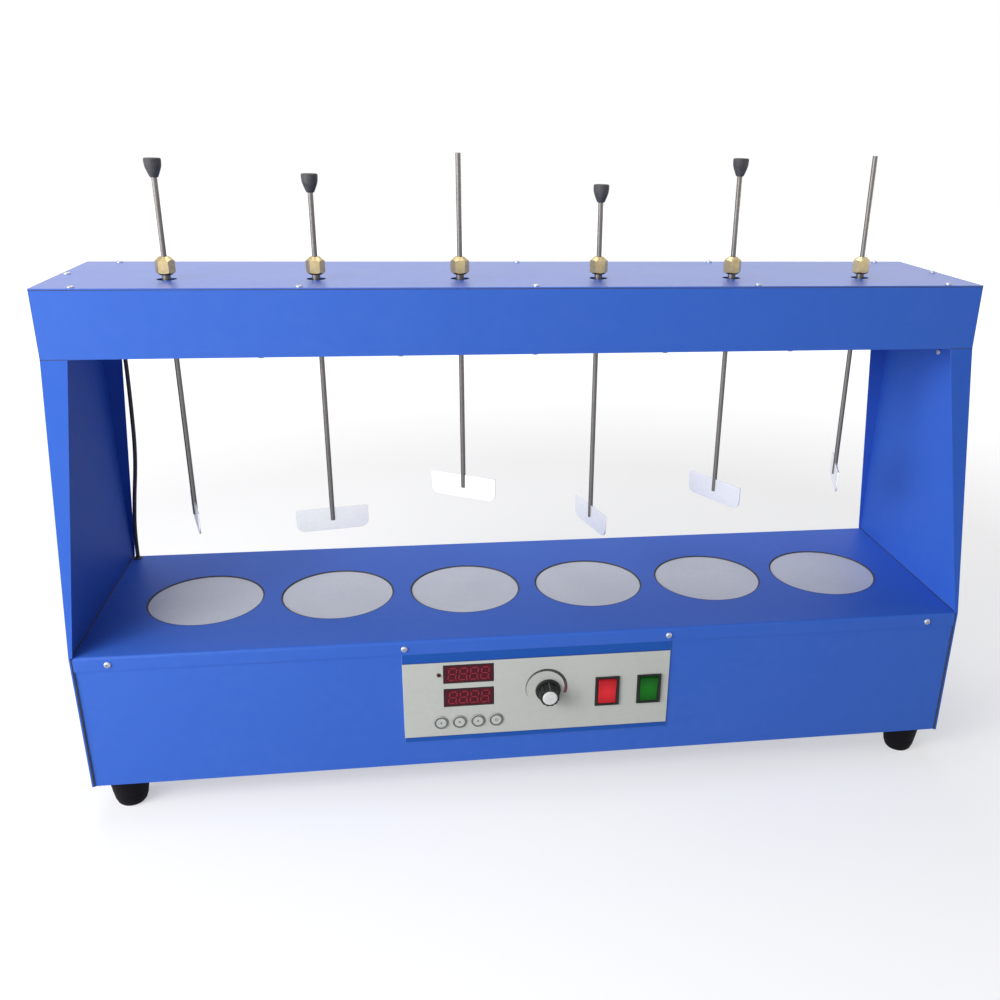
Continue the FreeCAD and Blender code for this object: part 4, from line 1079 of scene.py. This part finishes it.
    def feet(self) -> None:
        """Turned rubber feet with a moulded ring."""
        low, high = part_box("rubber_feet")
        reach = self.foot_radius
        feet = bmesh.new()
        places = [at(x, y, low.z) for x in (low.x + reach, high.x - reach)
                  for y in (low.y + reach, high.y - reach)]
        add_to(feet, turned(self.foot_profile, 56), places)
        place_mesh(feet, "feet", self.finishes.foot, stands_for=["rubber_feet"])


@dataclass
class Station:
    """One stirring place: spindle, collet nut, rod, paddle and, on four of them, a cap."""

    finishes: Finishes
    number: int
    nut_rounding: float = 0.45 * MM
    edge_rounding: float = 0.3 * MM
    cap_profile: tuple = ((2.52, 0.0), (3.3, 0.0), (3.7, 0.3), (4.25, 1.4), (5.1, 3.3),
                          (6.15, 5.9), (6.95, 8.2), (7.4, 9.9), (7.65, 12.0), (7.78, 14.4),
                          (7.76, 15.7), (7.45, 16.5), (6.8, 16.95), (5.6, 17.0), (5.1, 16.8),
                          (0.0, 16.7), (0.0, 5.0), (2.52, 5.0), (2.52, 0.0))

    def build(self) -> None:
        """Dress the pieces of this station."""
        number = self.number
        coat(f"spindle_{number}", self.finishes.steel)
        dressed(f"collet_nut_{number}", self.finishes.brass, self.nut_rounding, 3)
        dressed(f"stirrer_rod_{number}", self.finishes.steel, self.edge_rounding)
        dressed(f"paddle_{number}", self.finishes.polished, self.edge_rounding)
        if number in CAPPED:
            self.cap()

    def cap(self) -> None:
        """A rubber stopper with soft edges and a shallow dish on top."""
        node = f"rod_cap_{self.number}"
        middle = middle_of(node)
        place_mesh(turned(self.cap_profile, 48), f"stopper_{self.number}",
                   self.finishes.rubber, BODY_OF[node], [node],
                   at(middle.x, middle.y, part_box(node)[0].z))


@dataclass
class ControlPanel:
    """The printed plate with its displays, keys, knob and switches."""

    finishes: Finishes
    levels: Levels
    print_height: float = 0.08 * MM
    ring_width: float = 1.8 * MM
    window_margin: float = 1.3 * MM
    key_rounding: float = 0.35 * MM
    dot_radius: float = 1.0
    arrow_radius: float = 1.7 * MM
    mark_ring: tuple[float, float] = (1.5, 0.9)
    segment_width: float = 1.25 * MM
    digit_width: float = 7.6 * MM
    digit_height: float = 13.6 * MM
    digit_pitch: float = 11.2 * MM
    digit_lean: float = 0.14
    digit_point: float = 0.75
    point_gap: float = 1.1 * MM
    digit_depth: float = 0.22 * MM
    digit_rise: float = 0.12 * MM
    display_height: float = 21.5 * MM
    lens_thickness: float = 0.4 * MM
    lens_depth: float = 0.05 * MM
    lens_rounding: float = 0.15 * MM
    plate_rounding: float = 0.25 * MM
    bezel_rounding: float = 0.5 * MM
    rocker_rounding: float = 0.6 * MM
    pointer_rounding: float = 0.1 * MM
    lamp_gap: float = 4.7 * MM
    lamp_stand: float = 0.6 * MM
    lamp_profile: tuple = ((0.0, -0.2), (1.98, -0.2), (2.0, 0.0), (2.0, 0.3), (1.7, 0.9),
                           (1.0, 1.3), (0.0, 1.45))
    knob_length: float = 16.5
    flutes: int = 12
    flute_depth: float = 0.085
    barrel_radius: float = 10.75 * MM
    barrel_foot: float = 2.3
    barrel_steps: tuple = ((4.5, 0.99), (13.4, 0.957), (14.6, 0.95), (15.2, 0.94),
                           (15.5, 0.915))
    skirt_profile: tuple = ((0.0, -10.0), (2.95, -10.0), (2.95, 0.0), (13.1, 0.0),
                            (13.4, 0.3), (13.35, 0.9), (13.0, 1.9), (12.3, 2.4),
                            (10.9, 2.5), (8.0, 2.5), (8.0, 4.0), (0.0, 4.0))
    cap_profile: tuple = ((0.0, 14.3), (7.72, 14.3), (7.78, 15.6), (7.6, 16.05),
                          (7.0, 16.32), (5.2, 16.45), (0.0, 16.5))
    pointer_width: float = 0.9 * MM
    pointer_thickness: float = 0.4 * MM
    pointer_reach: float = 2.9 * MM
    pointer_drop: float = 12.4 * MM
    pointer_top: tuple[float, float] = (9.0 * MM, 15.42 * MM)
    pointer_side: tuple[float, float] = (10.44 * MM, 9.3 * MM)
    barrel_draft: float = 1.9
    scale_shift: tuple[float, float] = (-2.2 * MM, 3.1 * MM)
    scale_radius: float = 21.2 * MM
    scale_width: tuple[float, float] = (0.8 * MM, 2.4 * MM)
    scale_growth: float = 1.6
    scale_start: float = 205.0
    scale_sweep: float = 225.0

    def build(self) -> None:
        """Dress the panel's pieces."""
        dressed("control_overlay", self.finishes.plate, self.plate_rounding)
        coat("control_board", self.finishes.board)
        coat("speed_potentiometer", self.finishes.motor)
        self.displays()
        self.indicator()
        for number in range(1, KEYS + 1):
            self.key(number)
        self.knob()
        self.scale()
        self.switches()

    def displays(self) -> None:
        """Dark frames with red lenses and the ghosts of unlit digits."""
        low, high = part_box("display_modules")
        height = self.display_height
        frames, lenses, digits = bmesh.new(), bmesh.new(), bmesh.new()
        width, depth = high.x - low.x, high.y - low.y
        middle_x = (low.x + high.x) / 2
        for z in (low.z + height / 2, high.z - height / 2):
            add_to(frames, slab(width, depth, height, (middle_x, low.y + depth / 2, z)))
            lens = slab(width - 2 * self.window_margin, self.lens_thickness,
                        height - 2 * self.window_margin, (0, 0, 0))
            round_over(lens, self.lens_rounding)
            add_to(lenses, lens, [at(middle_x, low.y + self.lens_depth, z)])
            for place in range(4):
                x = middle_x + (place - 1.5) * self.digit_pitch
                self.digit(digits, x, low.y - self.digit_depth, z)
        round_over(frames, self.bezel_rounding, 3)
        place_mesh(frames, "display_frames", self.finishes.black,
                   stands_for=["display_modules"])
        place_mesh(lenses, "display_lenses", self.finishes.lens)
        place_mesh(digits, "display_digits", self.finishes.digit)

    def digit(self, target: bmesh.types.BMesh, x: float, y: float, z: float) -> None:
        """Seven leaning segments and a point.

        Args:
            target: The bmesh that takes them.
            x: The digit's middle along X.
            y: Where the segments' faces lie.
            z: The digit's middle along Z.
        """
        wide = self.digit_width
        half = self.digit_height / 2
        thick = self.segment_width
        bars = [(0.0, level * half, 0) for level in (-1, 0, 1)]
        bars += [(side * wide / 2, level * half / 2, 1) for side in (-1, 1) for level in (-1, 1)]
        lean = Matrix.Shear("XY", 4, (0.0, 0.0))
        lean[0][2] = self.digit_lean
        for across, up, upright in bars:
            length = (half if upright else wide) - 1.2 * thick
            bar = bmesh.new()
            bmesh.ops.create_circle(bar, cap_ends=True, radius=thick / 2, segments=6)
            bmesh.ops.rotate(bar, cent=(0, 0, 0), matrix=Matrix.Rotation(math.pi / 2, 3, "Z"),
                             verts=bar.verts)
            bmesh.ops.rotate(bar, cent=(0, 0, 0), matrix=Matrix.Rotation(math.pi / 2, 3, "X"),
                             verts=bar.verts)
            for vert in bar.verts:
                tip = abs(vert.co.z) < thick / 8
                reach = length / 2 if tip else (length - thick) / 2
                rise = 0.0 if tip else math.copysign(thick / 2, vert.co.z)
                vert.co = (math.copysign(reach, vert.co.x), 0.0, rise)
            raised(bar, bar.faces, (0, self.digit_rise, 0))
            bmesh.ops.recalc_face_normals(bar, faces=bar.faces)
            turn = Matrix.Rotation(math.pi / 2 if upright else 0.0, 4, "Y")
            local = lean @ Matrix.Translation((across, 0, up)) @ turn
            add_to(target, bar, [Matrix.Translation((x, y, z)) @ local])
        rise, dot = self.digit_rise / MM, self.digit_point
        point = turned([(0.0, 0.0), (dot, 0.0), (dot, rise), (0.0, rise)], 12)
        add_to(target, point, [at(x + wide / 2 + self.point_gap - self.digit_lean * half,
                                  y + self.digit_rise, z - half, Axis.FRONT)])

    def indicator(self) -> None:
        """The small lens of the lamp beside the upper display."""
        low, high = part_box("display_modules")
        place_mesh(turned(self.lamp_profile, 28), "indicator_lens", self.finishes.lens,
                   move=at(low.x - self.lamp_gap, self.levels.panel[0].y - self.lamp_stand,
                           high.z - self.display_height / 2, Axis.FRONT))

    def key(self, number: int) -> None:
        """A pale round key with a grey ring and a plain mark.

        Args:
            number: The key's number from the left.
        """
        node = f"push_key_{number}"
        dressed(node, self.finishes.key, self.key_rounding, 3)
        low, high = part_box(node)
        ink = self.print_height / MM
        rim = (high.x - low.x) / 2 / MM - self.key_rounding / MM
        marks = ring(rim, rim - self.ring_width / MM, ink)
        if number == 1:
            add_to(marks, turned([(0, 0), (self.dot_radius, 0), (self.dot_radius, ink),
                                  (0, ink)], 20))
        elif number == KEYS:
            add_to(marks, ring(*self.mark_ring, ink, 24))
        else:
            arrow = bmesh.new()
            bmesh.ops.create_cone(arrow, cap_ends=True, segments=3, radius1=self.arrow_radius,
                                  radius2=self.arrow_radius, depth=self.print_height)
            add_to(marks, arrow, [Matrix.Rotation(math.pi if number == 2 else 0.0, 4, "Z")])
        middle = middle_of(node)
        place_mesh(marks, f"key_mark_{number}", self.finishes.ink, BODY_OF[node],
                   move=at(middle.x, low.y, middle.z, Axis.FRONT))

    def knob(self) -> None:
        """A skirted knob with soft flutes, a pale cap and a pointer line."""
        node = "speed_knob"
        body, middle = BODY_OF[node], middle_of(node)
        base = at(middle.x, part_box(node)[0].y + self.knob_length * MM, middle.z, Axis.FRONT)
        knob = turned(self.skirt_profile, 72)
        barrel = bmesh.new()
        bmesh.ops.create_circle(barrel, cap_ends=True, radius=self.barrel_radius,
                                segments=self.flutes * 10)
        for vert in barrel.verts:
            angle = math.atan2(vert.co.y, vert.co.x)
            dip = max(0.0, math.cos(self.flutes * angle)) ** 2
            if abs(angle - math.pi / 2) > math.pi / self.flutes:
                vert.co *= 1.0 - self.flute_depth * dip
        bmesh.ops.translate(barrel, vec=(0, 0, self.barrel_foot * MM), verts=barrel.verts)
        top = list(barrel.faces)
        share_before, height_before = 1.0, self.barrel_foot
        for height, share in self.barrel_steps:
            rim, above = raised(barrel, top, (0, 0, (height - height_before) * MM))
            if share_before < 1.0:
                bmesh.ops.delete(barrel, geom=top, context="FACES_ONLY")
            bmesh.ops.scale(barrel, vec=(share / share_before, share / share_before, 1.0),
                            verts=rim)
            top, share_before, height_before = above, share, height
        bmesh.ops.recalc_face_normals(barrel, faces=barrel.faces)
        add_to(knob, barrel)
        place_mesh(knob, "knob_body", self.finishes.black, body, [node], base)
        place_mesh(turned(self.cap_profile, 56), "knob_cap", self.finishes.white,
                   body, move=base)
        place_mesh(self.pointer(), "knob_pointer", self.finishes.ink, body,
                   move=base)

    def pointer(self) -> bmesh.types.BMesh:
        """The knob's line, over the edge of its top and down its barrel.

        Returns:
            The bmesh.
        """
        wide, thick = self.pointer_width, self.pointer_thickness
        middle = (0, *self.pointer_side)
        line = slab(wide, self.pointer_reach, thick, (0, *self.pointer_top))
        side = slab(wide, thick, self.pointer_drop, middle)
        bmesh.ops.rotate(side, cent=middle, verts=side.verts,
                         matrix=Matrix.Rotation(math.radians(self.barrel_draft), 3, "X"))
        add_to(line, side)
        round_over(line, self.pointer_rounding)
        return line

    def scale(self) -> None:
        """The printed speed scale: an arc that widens from its low to its high end."""
        middle = middle_of("speed_knob")
        start, sweep = math.radians(self.scale_start), math.radians(-self.scale_sweep)
        arc = bmesh.new()
        ends = [arc.verts.new((radius * math.cos(start), radius * math.sin(start), 0))
                for radius in (self.scale_radius - 0.1 * MM, self.scale_radius + 0.1 * MM)]
        edge = arc.edges.new(ends)
        bmesh.ops.spin(arc, geom=[*ends, edge], axis=(0, 0, 1), cent=(0, 0, 0), angle=sweep,
                       steps=72, use_merge=False)
        narrow, wider = self.scale_width
        for vert in arc.verts:
            side = math.copysign(0.5, vert.co.length - self.scale_radius)
            width = narrow + wider * min(1.0, self.scale_growth * self.gone(vert.co))
            vert.co *= (self.scale_radius + side * width) / vert.co.length
        raised(arc, arc.faces, (0, 0, self.print_height))
        bmesh.ops.recalc_face_normals(arc, faces=arc.faces)
        mark = arc.faces.layers.float.new("share")
        for face in arc.faces:
            face[mark] = self.gone(face.calc_center_median())
        place_mesh(arc, "speed_scale_print", self.finishes.scale,
                   move=at(middle.x + self.scale_shift[0], self.levels.panel[0].y,
                           middle.z + self.scale_shift[1], Axis.FRONT))

    def gone(self, point: Vector) -> float:
        """How far along the speed scale a point lies.

        Args:
            point: The point, in the arc's own plane.

        Returns:
            The share, from 0 at the low end to 1.
        """
        slack = 0.02
        angle = math.radians(self.scale_start) - math.atan2(point.y, point.x)
        gone = (angle + slack) % math.tau - slack
        return max(0.0, gone / math.radians(self.scale_sweep))

    def switches(self) -> None:
        """Two rockers in black bezels."""
        dressed("switch_bodies", self.finishes.black, self.bezel_rounding, 3)
        for colour, finish, slot in (("red", self.finishes.red, Slot.RED),
                                     ("green", self.finishes.green, Slot.GREEN)):
            dressed(f"{colour}_rocker", finish, self.rocker_rounding, 3)


@dataclass
class Inside:
    """Drive, lamps and inlet: mostly hidden, so the solids keep their shape."""

    finishes: Finishes
    inlet_rounding: float = 0.4 * MM
    grommet_rounding: float = 0.3 * MM

    def build(self) -> None:
        """Dress the inner pieces."""
        for node, finish in (("bearing_blocks", self.finishes.cast),
                             ("spindle_bearings", self.finishes.steel),
                             ("drive_belts", self.finishes.belt),
                             ("drive_motor", self.finishes.motor),
                             ("motor_pulley", self.finishes.cast),
                             ("lamp_tubes", self.finishes.lamp),
                             ("lamp_holders", self.finishes.black)):
            coat(node, finish)
        dressed("power_inlet", self.finishes.black, self.inlet_rounding)
        dressed("lead_grommets", self.finishes.rubber, self.grommet_rounding)


@dataclass
class HeadLead:
    """The black lead between base and head, inside the left column."""

    finishes: Finishes
    levels: Levels
    top_x: float = -430.5
    foot_x: float = -448.5
    inset_y: float = 9.0
    tail: float = 12.0
    bow: float = 1.5
    shares: tuple = ((0.13, 0.0, 0.0), (0.33, 0.06, 0.5), (0.54, 0.2, 1.0),
                     (0.74, 0.7, 0.8), (0.9, 1.0, 0.0))
    diameter: float = 4.5

    def route(self) -> list[tuple[float, float, float]]:
        """The points that the lead follows.

        Returns:
            The points from the head down, in metres.
        """
        y = self.levels.deck[1].y / MM - self.inset_y
        top = self.levels.head[0].z / MM
        foot = self.levels.deck[1].z / MM
        drop = top - foot
        across = self.foot_x - self.top_x
        points = [(self.top_x, y, top + self.tail),
                  *((self.top_x + side * across, y - self.bow * bowed, top - down * drop)
                    for down, side, bowed in self.shares),
                  (self.foot_x, y, foot - self.tail)]
        return [(px * MM, py * MM, pz * MM) for px, py, pz in points]

    def build(self) -> None:
        """Lay the lead as one smooth curve."""
        points = self.route()
        curve = bpy.data.curves.new("head_lead_cable", "CURVE")
        curve.dimensions = "3D"
        curve.bevel_depth = self.diameter / 2 * MM
        curve.bevel_resolution = 5
        curve.resolution_u = 16
        curve.use_fill_caps = True
        spline = curve.splines.new("NURBS")
        spline.points.add(len(points) - 1)
        for point, place in zip(spline.points, points):
            point.co = (*place, 1.0)
        spline.order_u = 3
        spline.use_endpoint_u = True
        curve.materials.append(self.finishes.rubber)
        lead = bpy.data.objects.new("head_lead_cable", curve)
        bpy.context.scene.collection.objects.link(lead)
        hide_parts("head_lead")
        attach(lead, "cabinet")


# ---------------------------------------------------------------- stage

@dataclass
class Studio:
    """Floor, backdrop light, lamps and camera."""

    place: tuple[float, float, float] = (-0.123284, -1.012076, 0.671508)
    yaw: float = 0.14885
    pitch: float = -0.382314
    roll: float = 0.019572
    focal: float = 996.102
    middle: tuple[float, float] = (553.321, 522.811)
    frame_size: float = 1000.0
    sensor: float = 36.0
    floor_reach: float = 0.4
    floor_size: float = 8.0
    floor_glow: float = 0.48
    plain_light: float = 0.15
    lamps: tuple = (("key_lamp", (-1.45, -1.15, 1.2), (0.0, 0.0, 0.35), 0.9, 19.0),
                    ("side_lamp", (-1.9, -0.75, 0.7), (0.3, 0.0, 0.35), 1.2, 25.0),
                    ("front_lamp", (-1.2, -2.5, 1.2), (0.0, 0.0, 0.25), 1.2, 17.0),
                    ("top_lamp", (-0.2, 0.9, 2.6), (0.0, 0.0, 0.4), 1.8, 28.0),
                    ("right_lamp", (2.1, 0.0, 0.3), (0.4, 0.0, 0.3), 0.35, 8.0))

    def camera(self) -> None:
        """Stand the camera at the viewing place."""
        data = bpy.data.cameras.new("camera")
        data.sensor_width = self.sensor
        data.sensor_fit = "HORIZONTAL"
        data.lens = self.focal / self.frame_size * self.sensor
        data.shift_x = (self.frame_size / 2 - self.middle[0]) / self.frame_size
        data.shift_y = (self.middle[1] - self.frame_size / 2) / self.frame_size
        data.clip_start = 0.02
        forward = Vector((math.sin(self.yaw) * math.cos(self.pitch),
                          math.cos(self.yaw) * math.cos(self.pitch), math.sin(self.pitch)))
        side = Vector((math.cos(self.yaw), -math.sin(self.yaw), 0.0))
        up = side.cross(forward)
        turned_side = side * math.cos(self.roll) + up * math.sin(self.roll)
        turned_up = up * math.cos(self.roll) - side * math.sin(self.roll)
        turn = Matrix((turned_side, turned_up, -forward)).transposed().to_4x4()
        camera = bpy.data.objects.new("camera", data)
        camera.matrix_world = Matrix.Translation(self.place) @ turn
        bpy.context.scene.collection.objects.link(camera)
        bpy.context.scene.camera = camera

    @staticmethod
    def seen_white(nodes: Nodes, white: float, plain: float) -> bpy.types.NodeSocket:
        """A strength that is white to the eye, to gloss and to glass, and plain otherwise.

        Args:
            nodes: The material's or the world's nodes.
            white: The strength that is seen.
            plain: The strength that lights the object.

        Returns:
            The strength.
        """
        path = nodes.tree.nodes.new("ShaderNodeLightPath").outputs
        seen = nodes.math("MAXIMUM", path["Is Camera Ray"], path["Is Glossy Ray"])
        seen = nodes.math("MAXIMUM", seen, path["Is Transmission Ray"])
        return nodes.spread(seen, plain, white)

    def world(self) -> None:
        """A pale world that fills the shadows."""
        world = bpy.data.worlds.new("studio")
        bpy.context.scene.world = world
        world.use_nodes = True
        tree = world.node_tree
        light = tree.nodes["Background"]
        light.inputs["Color"].default_value = WHITE
        tree.links.new(self.seen_white(Nodes(tree), 1.0, self.plain_light),
                       light.inputs["Strength"])

    def floor(self) -> None:
        """A wide pale floor that keeps the shadow."""
        mesh = bmesh.new()
        bmesh.ops.create_grid(mesh, x_segments=1, y_segments=1, size=self.floor_size)
        floor = loose("floor", mesh)
        material = bpy.data.materials.new("pale_floor")
        material.use_nodes = True
        nodes = Nodes(material.node_tree)
        shader = nodes.tree.nodes["Principled BSDF"].inputs
        shader["Base Color"].default_value = (0.55, 0.55, 0.56, 1.0)
        shader["Roughness"].default_value = 0.9
        shader["Emission Color"].default_value = WHITE
        place = nodes.add("Mapping", {0: nodes.add("TexCoord", output="Object"),
                                      "Scale": (self.floor_reach,) * 3})
        ball = nodes.add("TexGradient", {0: place}, "Fac", gradient_type="SPHERICAL")
        glow = nodes.math("MULTIPLY", nodes.spread(ball, 1.0, self.floor_glow, 0.0, 0.6),
                          self.seen_white(nodes, 1.0, 0.0))
        nodes.tree.links.new(glow, shader["Emission Strength"])
        floor.data.materials.append(material)

    @staticmethod
    def lamp(name: str, place: Sequence[float], target: Sequence[float], size: float,
             power: float) -> None:
        """A soft square lamp.

        Args:
            name: The lamp's name.
            place: Where it stands.
            target: The point that it faces.
            size: Its side in metres.
            power: Its power in watts.
        """
        data = bpy.data.lights.new(name, "AREA")
        data.size = size
        data.energy = power
        lamp = bpy.data.objects.new(name, data)
        way = Vector(target) - Vector(place)
        lamp.matrix_world = (Matrix.Translation(place)
                             @ way.to_track_quat("-Z", "Y").to_matrix().to_4x4())
        bpy.context.scene.collection.objects.link(lamp)

    def build(self) -> None:
        """Set the whole stage."""
        self.camera()
        self.world()
        self.floor()
        for name, place, target, size, power in self.lamps:
            self.lamp(name, place, target, size, power)


def main() -> None:
    """Build every piece of the machine and its stage, in order."""
    view = bpy.context.scene.view_settings
    view.view_transform = "Standard"
    levels = Levels()
    Studio().build()
    panel_low, panel_high = levels.panel
    plate = PrintedPlate("printed_plate", srgb(197, 200, 194), srgb(8, 80, 172),
                         srgb(4, 58, 140), panel_high.z - TOP_BAND, panel_low.z + LOW_BAND)
    lamps = {colour: tuple(middle_of(f"{colour}_rocker")) for colour in ("red", "green")}
    finishes = Finishes(Effects(), plate, lamps)
    HeadLead(finishes, levels).build()
    Cabinet(finishes, levels).build()
    for number in range(1, STATIONS + 1):
        Station(finishes, number).build()
    ControlPanel(finishes, levels).build()
    Inside(finishes).build()


if __name__ == "__main__":
    main()
